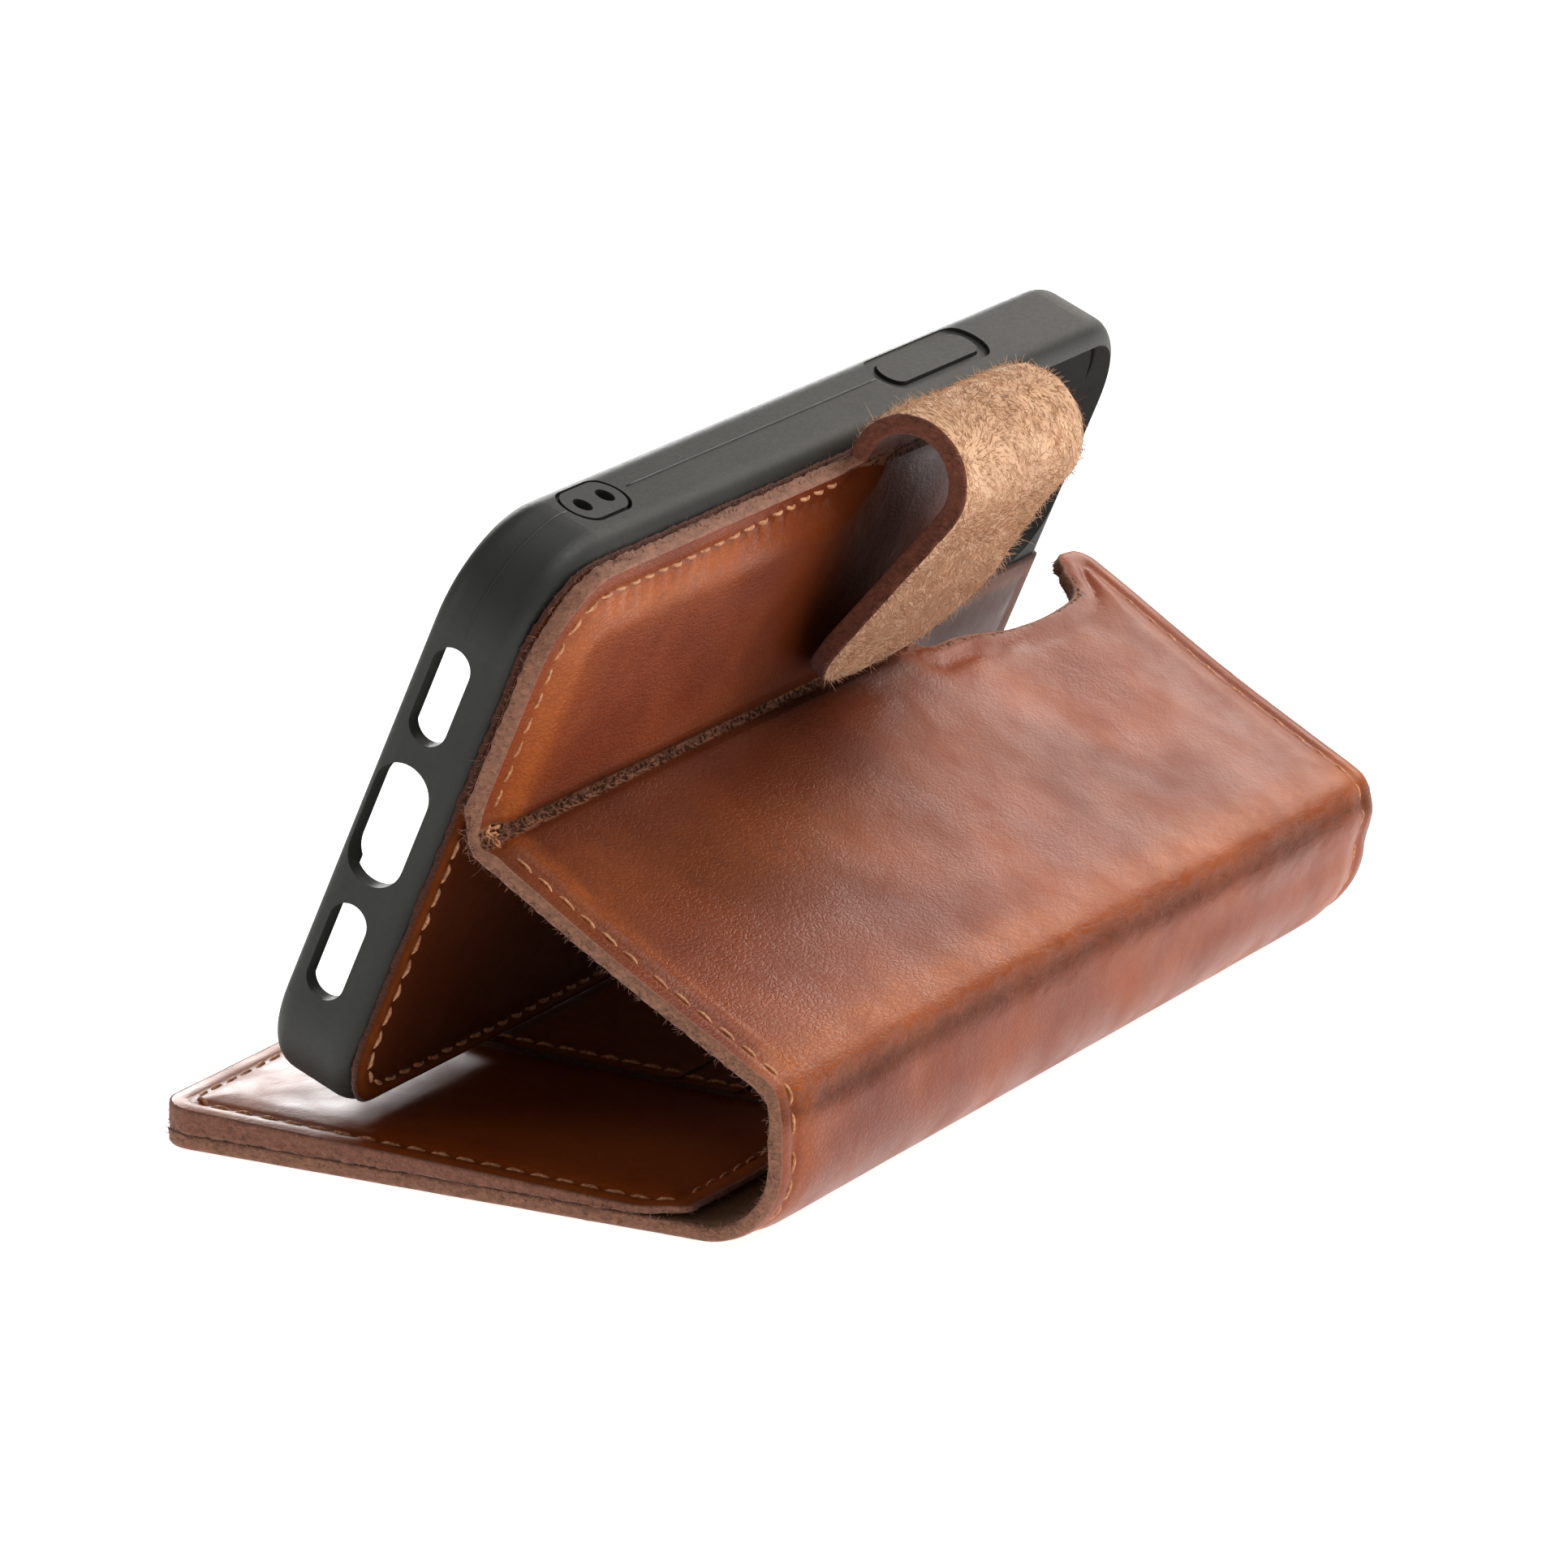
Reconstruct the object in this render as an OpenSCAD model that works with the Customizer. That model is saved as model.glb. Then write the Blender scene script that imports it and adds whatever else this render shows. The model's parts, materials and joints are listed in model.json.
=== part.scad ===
// Leather phone wallet case: a flexible phone tray carried by one folded hide
// that makes the front cover, the spine, the back and a closing strap.
// It is drawn folded out as a stand. X runs along the phone, the screen faces
// -Y, and Z = 0 is the table under the front cover.

/* [Phone] */
// Length of the phone the tray holds
phone_l = 146.7; // [145:0.1:148]
// Width of the phone
phone_w = 71.5; // [70.5:0.1:72.5]
// Thickness of the phone
phone_t = 7.65; // [7.2:0.05:8]

/* [Tray] */
// Wall of the tray at its two short ends
end_wall = 2.15; // [1.8:0.05:2.6]
// Wall of the tray along its two long sides
side_wall = 3.15; // [2.8:0.05:3.4]
// Thickness of the tray's back
tray_back = 1.8; // [1.4:0.1:2]
// Height of the lip that stands over the phone's face
lip_h = 2.15; // [1.6:0.05:2.6]
// How far the lip reaches over the phone's face
lip_reach = 1.2; // [0.8:0.1:1.6]
// Corner radius of the tray seen from the front
tray_corner = 13.5; // [12:0.5:15]
// Rounding of the tray's outer edges
tray_edge = 2.8; // [2.2:0.1:3.2]

/* [Leather] */
// Thickness of the hide
hide_t = 2.4; // [2:0.1:2.6]
// Thickness of the thin leather linings
lining_t = 1.2; // [1:0.1:1.3]
// Stiffening board between the tray and the upper panel
board_t = 0.9; // [0.6:0.1:1]
// Length of the hide along the phone
hide_l = 148; // [146:0.5:149]
// Distance of the seams from the cut edges
seam_in = 3.5; // [3:0.25:4]

/* [Stand] */
// Lean of the tray above the table, in degrees
lean = 67; // [64:0.5:69]
// Slope of the lower back panel, in degrees
panel_slope = 31; // [30:0.5:33]
// Depth of the footprint, from the cover's free edge to the spine
foot_d = 84; // [83:0.5:86]
// Height of the corner between the spine and the lower panel
spine_h = 19.3; // [19:0.1:20.5]
// Length of the lower panel from that corner to the crease
panel_len = 46.5; // [46:0.5:48]
// Height of the crease above the tray's lower edge, along the tray
crease_v = 41.8; // [41:0.1:42]

/* [Strap] */
// Width of the closing strap
strap_w = 38; // [34:1:40]
// Middle of the strap along the phone
strap_x = -12; // [-13:0.5:-9]
// Length of each half of the strap's curl
curl_l = 9.5; // [9:0.1:10]
// Length of the strap's straight tongue
tongue_l = 33; // [28:0.5:33.5]
// Turn of the strap away from the tray at its root, in degrees
root_turn = 45; // [43:0.5:47]
// Direction of the tongue, folded back towards the crease, in degrees
tongue_turn = 198; // [196:0.5:199]

/* [Hidden] */

$fn = 48;
eps = 0.01;
far = 200;

// Colours
hide_c = [0.55, 0.27, 0.15];
inner_c = [0.50, 0.24, 0.12];
flesh_c = [0.80, 0.62, 0.45];
rubber_c = [0.16, 0.16, 0.15];
thread_c = [0.82, 0.58, 0.38];
board_c = [0.60, 0.57, 0.50];

// Thread lines
thread_w = 0.6;
thread_h = 0.25;

// Tray sizes
tray_l = phone_l + 2 * end_wall;
tray_w = phone_w + 2 * side_wall;
tray_t = tray_back + phone_t + lip_h;
cavity_corner = tray_corner - side_wall;

// Living hinges: every hide ends in a round knuckle or stops short of one
half_t = hide_t / 2;
hinge_gap = 0.3;
seat = half_t + hinge_gap;

// Section of the hide: front cover, bend, spine, bend, lower panel, crease
spine_y = foot_d / 2 - half_t;
base_r = 9.6;
base_c = [spine_y - base_r, half_t + base_r];
top_r = 4.5;
top_half = (90 - panel_slope) / 2;
top_c = [spine_y - top_r, spine_h - top_r * tan(top_half)];
bend_end = top_r * tan(top_half);
panel_a = 180 - panel_slope;
corner = [spine_y, spine_h];
crease = corner + panel_len * [cos(panel_a), sin(panel_a)];
base_axis = base_c + base_r * [cos(-45), sin(-45)];
top_axis = top_c + top_r * [cos(top_half), sin(top_half)];

// Tray frame: y up the lean, z towards the screen, 0 at the lower back edge
crease_w = lining_t + board_t + half_t;
tray_o = crease - crease_v * [cos(lean), sin(lean)]
    - crease_w * [sin(lean), -cos(lean)];

// Front cover layers
cover_free = -foot_d / 2;
cover_end = base_c[0];
lining_end = cover_end - 1.7;
pad_thick = 2.7;
pad_thin = 0.3;
cover_corner = 5;
pocket_x = -12;
pocket_w = 94;
pocket_step = 8;
pocket_mouth = lining_end - 7;
pocket_low = cover_free + seam_in + 2;
pocket_gap = 0.3;
pocket_t = [0.5, 0.7, 0.9];

// Upper panel and tray lining outlines, in the tray frame
lining_in = 1.5;
panel_top = tray_w - 2;
panel_far = -36;
panel_corner = 11;

// Camera cut-out, in the tray frame
camera_x = [-73.2, -38];
camera_y = [42, tray_w - side_wall];
camera_r = 9;

// Notch that clears the camera at the top of the lower panel
notch_x = [-69.5, -33];
notch_d = 4.8;

// Side openings and buttons, measured along the tray's middle height
side_z = tray_t / 2 + 0.8;
port = [16, 7.6];
speaker = [12.7, 5.1];
speaker_pitch = 17.5;
power_x = -28;
power_l = 22;
volume_l = 11;
volume_up_x = -36.5;
volume_down_x = -20.5;
mute_x = -50.5;
mute = [9, 4.6];
button_w = 4.2;
button_gap = 0.2;
button_in = 0.6;
recess_d = 0.5;
lanyard_x = 54.7;
lanyard = [12, 6.6];
lanyard_hole = 2.5;
lanyard_pitch = 5.2;

// Strap hinge points, in the tray frame as height and distance behind the back
strap_a = [root_turn, 180 - root_turn, tongue_turn];
strap_x0 = strap_x - strap_w / 2;
strap_x1 = strap_x + strap_w / 2;
strap_end_r = 40;
strap_tip_r = 12;
strap_p0 = [panel_top + seat, crease_w];
strap_p1 = strap_p0 + curl_l * [cos(strap_a[0]), sin(strap_a[0])];
strap_p2 = strap_p1 + curl_l * [cos(strap_a[1]), sin(strap_a[1])];

// Height of the front cover's lining at a given depth
function lining_top(y) = hide_t + lining_t + pad_thin
    + (pad_thick - pad_thin) * (lining_end - y) / (lining_end - cover_free);

// ---- helpers ----

// Extrudes a section drawn in Y and Z along X
module along_x(x0, x1) {
    translate([x0, 0, 0]) rotate([90, 0, 90]) linear_extrude(x1 - x0) children();
}

// Places a shape drawn in the tray frame
module in_tray() {
    translate([0, tray_o[0], tray_o[1]]) rotate([lean, 0, 0]) children();
}

// Places a shape drawn along the lower panel: y towards the crease, z inwards
module in_panel() {
    translate([0, corner[0], corner[1]]) rotate([panel_a, 0, 0]) children();
}

// Places a shape drawn along one piece of the strap: y along it
module in_strap(p, a) {
    in_tray() translate([0, p[0], -p[1]]) rotate([-a, 0, 0]) children();
}

// Rectangle with round corners, between two corner points
module round_rect(p, q, r) {
    w = q[0] - p[0];
    h = q[1] - p[1];
    translate([p[0] + r, p[1]]) square([w - 2 * r, h]);
    translate([p[0], p[1] + r]) square([w, h - 2 * r]);
    for (x = [p[0] + r, q[0] - r]) for (y = [p[1] + r, q[1] - r])
        translate([x, y]) circle(r);
}

// Rounded slot centred on the origin
module pill(l, w) {
    square([l - w, w], center = true);
    for (s = [-1, 1]) translate([s * (l - w) / 2, 0]) circle(w / 2);
}

// Piece to subtract so that a corner becomes round; dir points to the corner
module corner_off(p, dir, r) {
    translate(p) difference() {
        translate([dir[0] > 0 ? -r : -1, dir[1] > 0 ? -r : -1]) square(r + 1);
        translate([-dir[0] * r, -dir[1] * r]) circle(r);
    }
}

// Part of a ring between two angles, both under 180 degrees apart
module ring_part(r0, r1, a0, a1) {
    big = 2 * r1;
    intersection() {
        difference() {
            circle(r1);
            circle(r0);
        }
        polygon([[0, 0], big * [cos(a0), sin(a0)],
            big * [cos((a0 + a1) / 2), sin((a0 + a1) / 2)],
            big * [cos(a1), sin(a1)]]);
    }
}

// Prism standing on one of the tray's long sides, pointing along y
module side_prism(x, y0, y1) {
    translate([x, y0, side_z]) rotate([-90, 0, 0]) linear_extrude(y1 - y0)
        children();
}

// Angle that the hinge seat takes up on a bend of the given radius
function seat_a(r) = asin(seat / r);

// ---- front cover ----

module front_cover_leather() {
    color(hide_c) intersection() {
        along_x(-hide_l / 2, hide_l / 2) {
            translate([cover_free, 0]) square([cover_end - cover_free, hide_t]);
            translate(base_c)
                ring_part(base_r - half_t, base_r + half_t, -90, -45 - seat_a(base_r));
        }
        linear_extrude(far) cover_outline(far);
    }
}

// Outline of the front cover seen from above, up to a given depth
module cover_outline(y1) {
    difference() {
        translate([-hide_l / 2, cover_free]) square([hide_l, y1 - cover_free]);
        for (s = [-1, 1])
            corner_off([s * hide_l / 2, cover_free], [s, -1], cover_corner);
    }
}

module front_cover_padding() {
    color(board_c) intersection() {
        along_x(-hide_l / 2, hide_l / 2)
            polygon([[cover_free, hide_t], [lining_end, hide_t],
                [lining_end, hide_t + pad_thin], [cover_free, hide_t + pad_thick]]);
        linear_extrude(far) cover_outline(lining_end);
    }
}

// Layer of a given thickness lying on the lining's slope
module sloped_layer(x0, x1, y0, y1, low, high) {
    along_x(x0, x1) polygon([[y0, lining_top(y0) + low], [y1, lining_top(y1) + low],
        [y1, lining_top(y1) + high], [y0, lining_top(y0) + high]]);
}

module front_cover_lining() {
    color(inner_c) intersection() {
        sloped_layer(-hide_l / 2, hide_l / 2, cover_free, lining_end, -lining_t, 0);
        linear_extrude(far) cover_outline(lining_end);
    }
}

// Outline of a seam inside the cover's edges, grown inwards by d
module cover_seam(d) {
    round_rect([-hide_l / 2 + seam_in + d, cover_free + seam_in + d],
        [hide_l / 2 - seam_in - d, lining_end - seam_in - d], 2);
}

module front_cover_stitching() {
    color(thread_c) intersection() {
        sloped_layer(-hide_l / 2, hide_l / 2, cover_free, lining_end, 0, thread_h);
        linear_extrude(far) difference() {
            cover_seam(0);
            cover_seam(thread_w);
        }
    }
}

// One card pocket, from its mouth towards the free edge
module card_pocket(y0, y1, t) {
    color(inner_c)
        sloped_layer(pocket_x - pocket_w / 2, pocket_x + pocket_w / 2, y0, y1, 0, t);
}

module card_pocket_lower() {
    card_pocket(pocket_mouth - pocket_step + pocket_gap, pocket_mouth, pocket_t[0]);
}

module card_pocket_middle() {
    card_pocket(pocket_mouth - 2 * pocket_step + pocket_gap,
        pocket_mouth - pocket_step, pocket_t[1]);
}

module card_pocket_upper() {
    card_pocket(pocket_low, pocket_mouth - 2 * pocket_step, pocket_t[2]);
}

module card_pocket_stitching() {
    color(thread_c) for (s = [-1, 1]) {
        x = pocket_x + s * (pocket_w / 2 - seam_in);
        sloped_layer(x - thread_w / 2, x + thread_w / 2, pocket_low + seam_in,
            pocket_mouth - 2 * pocket_step - 1, pocket_t[2], pocket_t[2] + thread_h);
    }
}

// ---- spine ----

// Section of the spine between two distances from its middle plane
module spine_section(r_in, r_out, a0, a1) {
    translate(base_c) ring_part(base_r + r_in, base_r + r_out, a0, 0);
    translate([spine_y + r_in, base_c[1] - eps])
        square([r_out - r_in, top_c[1] - base_c[1] + 2 * eps]);
    translate(top_c) ring_part(top_r + r_in, top_r + r_out, 0, a1);
}

module spine_leather() {
    color(hide_c) difference() {
        along_x(-hide_l / 2, hide_l / 2) {
            spine_section(-half_t, half_t, -45, top_half);
            translate(base_axis) circle(half_t);
            translate(top_axis) circle(half_t);
        }
        spine_thread();
    }
}

// Two lines of thread, sunk flush into the spine near its ends
module spine_thread() {
    for (s = [-1, 1]) {
        x = s * (hide_l / 2 - seam_in);
        along_x(x - thread_w / 2, x + thread_w / 2)
            spine_section(half_t - thread_h, half_t, -30, top_half - 12);
    }
}

module spine_stitching() {
    color(thread_c) spine_thread();
}

// ---- lower panel ----

module lower_panel_leather() {
    color(hide_c) difference() {
        union() {
            along_x(-hide_l / 2, hide_l / 2) {
                translate(top_c) ring_part(top_r - half_t, top_r + half_t,
                    top_half + seat_a(top_r), 2 * top_half);
                translate(corner) rotate(panel_a) translate([bend_end - eps, -half_t])
                    square([panel_len - bend_end + eps, hide_t]);
            }
            along_x(-hide_l / 2, hide_l / 2) translate(crease) circle(half_t);
        }
        in_panel() translate([0, 0, -far / 2]) linear_extrude(far) {
            difference() {
                translate([notch_x[0], panel_len - notch_d])
                    square([notch_x[1] - notch_x[0], 2 * notch_d]);
                for (s = [0, 1]) translate([notch_x[s], panel_len - notch_d])
                    difference() {
                        translate([s == 0 ? 0 : -2, 0]) square(2);
                        translate([s == 0 ? 2 : -2, 2]) circle(2);
                    }
            }
            corner_off([-hide_l / 2, panel_len + half_t], [-1, 1], 2.2);
            corner_off([notch_x[0], panel_len + half_t], [1, 1], 2.2);
        }
    }
}

module lower_panel_stitching() {
    color(thread_c) for (s = [-1, 1])
        in_panel() translate([s * (hide_l / 2 - seam_in) - thread_w / 2,
            bend_end + 1, -half_t - thread_h])
            cube([thread_w, panel_len - bend_end - 7, thread_h]);
}

// ---- phone tray ----

// Solid of the tray's outside, rounded all over: corners, rims and middle
module tray_body() {
    x = tray_l / 2 - tray_corner;
    y = tray_w / 2 - tray_corner;
    translate([0, tray_w / 2, 0]) {
        for (i = [0:3]) rotate([0, 0, 90 * i])
            translate(i % 2 == 0 ? [x, y, 0] : [y, x, 0])
                rotate_extrude(angle = 90) tray_rim();
        for (s = [0, 180]) rotate([0, 0, s]) {
            translate([x, y, 0]) rotate([90, 0, 0]) linear_extrude(2 * y) tray_rim();
            translate([-x, y, 0]) rotate([90, 0, 90]) linear_extrude(2 * x) tray_rim();
        }
        translate([-x, -y, 0]) cube([2 * x, 2 * y, tray_t]);
    }
}

// Half section of a tray corner with round rims
module tray_rim() {
    square([tray_corner - tray_edge, tray_t]);
    translate([0, tray_edge]) square([tray_corner, tray_t - 2 * tray_edge]);
    for (z = [tray_edge, tray_t - tray_edge])
        translate([tray_corner - tray_edge, z]) circle(tray_edge);
}

// Room for the phone, inset by d
module phone_outline(d) {
    round_rect([-phone_l / 2 + d, side_wall + d],
        [phone_l / 2 - d, tray_w - side_wall - d], cavity_corner - d);
}

// Prism through the near end wall
module end_prism(y) {
    translate([tray_l / 2 - 2 * end_wall, y, side_z]) rotate([90, 0, 90])
        linear_extrude(3 * end_wall) children();
}

module phone_tray() {
    wall_y = tray_w - side_wall;
    color(rubber_c) in_tray() difference() {
        tray_body();
        translate([0, 0, tray_back]) linear_extrude(phone_t) phone_outline(0);
        translate([0, 0, tray_back]) linear_extrude(tray_t) phone_outline(lip_reach);
        translate([0, 0, -1]) linear_extrude(tray_back + 2)
            round_rect([camera_x[0], camera_y[0]], [camera_x[1], camera_y[1]], camera_r);
        end_prism(tray_w / 2) pill(port[0], port[1]);
        for (s = [-1, 1])
            end_prism(tray_w / 2 + s * speaker_pitch) pill(speaker[0], speaker[1]);
        button_window(power_x, power_l, wall_y - 1, tray_w + 1);
        button_recess(power_x, power_l, tray_w - recess_d, tray_w + 1);
        for (x = [volume_up_x, volume_down_x]) {
            button_window(x, volume_l, -1, side_wall + 1);
            button_recess(x, volume_l, -1, recess_d);
        }
        side_prism(mute_x, -1, side_wall + 1) pill(mute[0], mute[1]);
        side_prism(lanyard_x, wall_y - 1, tray_w + 1) pill(lanyard[0], lanyard[1]);
    }
}

module button_window(x, l, y0, y1) {
    side_prism(x, y0, y1) pill(l + 2 * button_gap, button_w + 2 * button_gap);
}

module button_recess(x, l, y0, y1) {
    side_prism(x, y0, y1) pill(l + 4, button_w + 2.8);
}

module lanyard_insert() {
    wall_y = tray_w - side_wall;
    color(rubber_c) in_tray() difference() {
        union() {
            side_prism(lanyard_x, wall_y, tray_w - 1) pill(lanyard[0], lanyard[1]);
            side_prism(lanyard_x, wall_y, tray_w) pill(lanyard[0] - 1, lanyard[1] - 1);
        }
        for (s = [-1, 1])
            side_prism(lanyard_x + s * lanyard_pitch / 2, wall_y - 1, tray_w + 1)
                circle(lanyard_hole / 2);
    }
}

module power_button() {
    color(rubber_c) in_tray()
        side_prism(power_x, tray_w - side_wall + button_in, tray_w - 0.05)
            pill(power_l, button_w);
}

// Volume buttons sit in the tray's lower side
module volume_button(x) {
    color(rubber_c) in_tray()
        side_prism(x, 0.05, side_wall - button_in) pill(volume_l, button_w);
}

module volume_up_button() {
    volume_button(volume_up_x);
}

module volume_down_button() {
    volume_button(volume_down_x);
}

// ---- leather on the tray ----

// Outline of the thin lining, with the camera corner left open
module lining_outline() {
    difference() {
        round_rect([-hide_l / 2, lining_in], [hide_l / 2, panel_top], panel_corner);
        translate([-far, camera_y[0]]) square([far + camera_x[1], far]);
    }
}

module tray_lining() {
    color(inner_c) in_tray() translate([0, 0, -lining_t]) linear_extrude(lining_t)
        lining_outline();
}

// Seam around the lower half of the lining, open at the crease
module lining_seam(d) {
    round_rect([-hide_l / 2 + seam_in + d, lining_in + seam_in + d],
        [hide_l / 2 - seam_in - d, far], panel_corner - seam_in - d);
}

module tray_lining_stitching() {
    color(thread_c) in_tray() translate([0, 0, -lining_t - thread_h])
        linear_extrude(thread_h) intersection() {
            difference() {
                lining_seam(0);
                lining_seam(thread_w);
            }
            translate([-far / 2, 0]) square([far, crease_v - 5]);
        }
}

// Outline of the upper panel above the crease, cut back by d at its edges
module upper_outline(d) {
    difference() {
        translate([panel_far + d, crease_v + seat + d])
            square([hide_l / 2 - panel_far - 2 * d, panel_top - crease_v - seat - 2 * d]);
        corner_off([hide_l / 2 - d, panel_top - d], [1, 1], panel_corner - d);
    }
}

module upper_panel_board() {
    color(board_c) in_tray() translate([0, 0, -lining_t - board_t])
        linear_extrude(board_t) upper_outline(0);
}

module upper_panel_leather() {
    color(hide_c) in_tray() translate([0, 0, -crease_w - half_t])
        linear_extrude(hide_t) upper_outline(0);
}

// Seam along the near end and the top, up to the strap
module upper_panel_stitching() {
    color(thread_c) in_tray() translate([0, 0, -crease_w - half_t - thread_h])
        linear_extrude(thread_h) intersection() {
            difference() {
                upper_outline(seam_in);
                upper_outline(seam_in + thread_w);
            }
            translate([strap_x + strap_w / 2 + 2, crease_v + seat + seam_in + 1])
                square([far, far]);
        }
}

// ---- strap ----

// Round knuckle across the strap, l along one piece of it
module strap_knuckle(l) {
    translate([strap_x0, l, 0]) rotate([0, 90, 0]) cylinder(h = strap_w, r = half_t);
}

// The strap's first piece has a knuckle at both ends
module strap_root() {
    color(flesh_c) in_strap(strap_p0, strap_a[0]) {
        translate([strap_x0, 0, -half_t]) cube([strap_w, curl_l, hide_t]);
        strap_knuckle(0);
        strap_knuckle(curl_l);
    }
}

module strap_crown() {
    color(flesh_c) in_strap(strap_p1, strap_a[1]) {
        translate([strap_x0, seat, -half_t]) cube([strap_w, curl_l - seat, hide_t]);
        strap_knuckle(curl_l);
    }
}

module strap_tongue() {
    color(flesh_c) in_strap(strap_p2, strap_a[2]) translate([0, 0, -half_t])
        linear_extrude(hide_t) intersection() {
            difference() {
                translate([strap_x0, seat]) square([strap_w, tongue_l - seat]);
                corner_off([strap_x0, tongue_l], [-1, 1], strap_tip_r);
                corner_off([strap_x1, tongue_l], [1, 1], strap_tip_r);
            }
            translate([strap_x, tongue_l - strap_end_r]) circle(strap_end_r, $fn = 96);
        }
}

front_cover_leather();
front_cover_padding();
front_cover_lining();
front_cover_stitching();
card_pocket_lower();
card_pocket_middle();
card_pocket_upper();
card_pocket_stitching();
spine_leather();
spine_stitching();
lower_panel_leather();
lower_panel_stitching();
phone_tray();
lanyard_insert();
tray_lining();
tray_lining_stitching();
upper_panel_board();
upper_panel_leather();
upper_panel_stitching();
power_button();
volume_up_button();
volume_down_button();
strap_root();
strap_crown();
strap_tongue();
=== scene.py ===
import json
import math

import bmesh
import bpy
import numpy as np
from mathutils import Matrix, Vector, geometry

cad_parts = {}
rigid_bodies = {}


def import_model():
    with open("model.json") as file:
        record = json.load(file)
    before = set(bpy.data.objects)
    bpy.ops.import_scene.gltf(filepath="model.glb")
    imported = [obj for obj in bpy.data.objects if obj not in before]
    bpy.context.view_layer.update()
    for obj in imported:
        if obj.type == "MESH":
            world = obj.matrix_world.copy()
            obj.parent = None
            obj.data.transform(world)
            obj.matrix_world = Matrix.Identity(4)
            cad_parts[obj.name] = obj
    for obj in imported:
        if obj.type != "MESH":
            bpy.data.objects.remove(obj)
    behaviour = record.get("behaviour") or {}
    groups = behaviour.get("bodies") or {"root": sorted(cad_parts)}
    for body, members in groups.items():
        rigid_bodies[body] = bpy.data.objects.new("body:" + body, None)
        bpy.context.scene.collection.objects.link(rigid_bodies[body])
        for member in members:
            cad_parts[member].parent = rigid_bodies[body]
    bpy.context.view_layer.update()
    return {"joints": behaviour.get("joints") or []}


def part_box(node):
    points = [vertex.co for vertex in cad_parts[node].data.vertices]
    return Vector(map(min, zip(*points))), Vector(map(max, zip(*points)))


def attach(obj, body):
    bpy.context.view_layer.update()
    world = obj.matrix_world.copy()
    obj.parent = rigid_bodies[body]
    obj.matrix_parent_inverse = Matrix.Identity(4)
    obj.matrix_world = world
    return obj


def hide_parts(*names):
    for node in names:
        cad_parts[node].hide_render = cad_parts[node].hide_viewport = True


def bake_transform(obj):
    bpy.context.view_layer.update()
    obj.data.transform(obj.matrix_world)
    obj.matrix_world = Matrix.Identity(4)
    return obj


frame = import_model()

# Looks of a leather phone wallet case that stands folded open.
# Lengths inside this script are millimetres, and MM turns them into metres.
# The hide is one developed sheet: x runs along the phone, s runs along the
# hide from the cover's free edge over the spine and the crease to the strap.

MM = 0.001
JOINTS = {j["name"]: j for j in frame["joints"]}


def joint_yz(name):
    """Y and Z of a hinge axis, in millimetres."""
    p = JOINTS[name]["pos_m"]
    return np.array([p[1], p[2]]) / MM


# ---- sizes, as the CAD model has them ----

COVER_LO, COVER_HI = (np.array(v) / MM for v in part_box("front_cover_leather"))
HIDE_T = 2.4
HALF = HIDE_T / 2
NEAR_X = COVER_HI[0]
FAR_X = COVER_LO[0] - 6.0
SPINE_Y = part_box("spine_leather")[1][1] / MM - HALF
LEAN = math.radians(67)
SLOPE = math.radians(31)
BASE_R = 9.6
TOP_R = 4.5
CREASE_R = 1.5
PANEL_LEN = 46.5
CREASE_V = 41.8
CREASE_W = 3.3
TRAY_L, TRAY_W, TRAY_T = 151.0, 77.8, 11.6
TRAY_CORNER_R, TRAY_EDGE_R = 13.5, 2.8
COVER_CORNER_R, PANEL_CORNER_R, ROOT_R = 5.0, 11.0, 1.6
PANEL_TOP = TRAY_W - 2
SIDE_Z = TRAY_T / 2 + 0.8
CREASE = joint_yz("crease_fold")
V_DIR = np.array([math.cos(LEAN), math.sin(LEAN)])
W_DIR = np.array([math.sin(LEAN), -math.cos(LEAN)])
TRAY_O = CREASE - CREASE_V * V_DIR - CREASE_W * W_DIR
STRAP_X = (-31.0, 7.0)
STRAP_FAR = -24.0
STRAP_R = 6.72
STRAP_ROOT = 2.6
STRAP_TURN = math.radians(198)
NOTCH_X = (-69.5, -33.0)
NOTCH_D = 4.8
NOTCH_R = 2.0
HORN_R = 2.4
SEAM = 3.0
PITCH = 3.3
LINING_END = SPINE_Y - BASE_R - 1.7
PAD_THICK, PAD_THIN = 2.7, 0.3
LINING_T = 1.2


# ---- the path of the hide's middle plane ----

def path_segments():
    """Lengths and turns of the hide's section, from free edge to strap tip."""
    turn_top = math.pi / 2 - SLOPE
    turn_crease = math.pi - SLOPE - LEAN
    tangent_crease = CREASE_R * math.tan(turn_crease / 2)
    bend_end = TOP_R * math.tan(turn_top / 2)
    spine_corner = CREASE + PANEL_LEN * np.array([math.cos(SLOPE), -math.sin(SLOPE)])
    rise = spine_corner[1] - bend_end - HALF - BASE_R
    return [
        ("cover", SPINE_Y - BASE_R - COVER_LO[1], 0.0),
        ("base", BASE_R * math.pi / 2, math.pi / 2),
        ("spine", rise, 0.0),
        ("top", TOP_R * turn_top, turn_top),
        ("panel", PANEL_LEN - bend_end - tangent_crease, 0.0),
        ("crease", CREASE_R * turn_crease, -turn_crease),
        ("upper", PANEL_TOP - CREASE_V - tangent_crease, 0.0),
        ("root", STRAP_ROOT, 0.0),
        ("curl", STRAP_R * STRAP_TURN, -STRAP_TURN),
        ("tongue", 32.0, 0.0),
    ]


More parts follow.
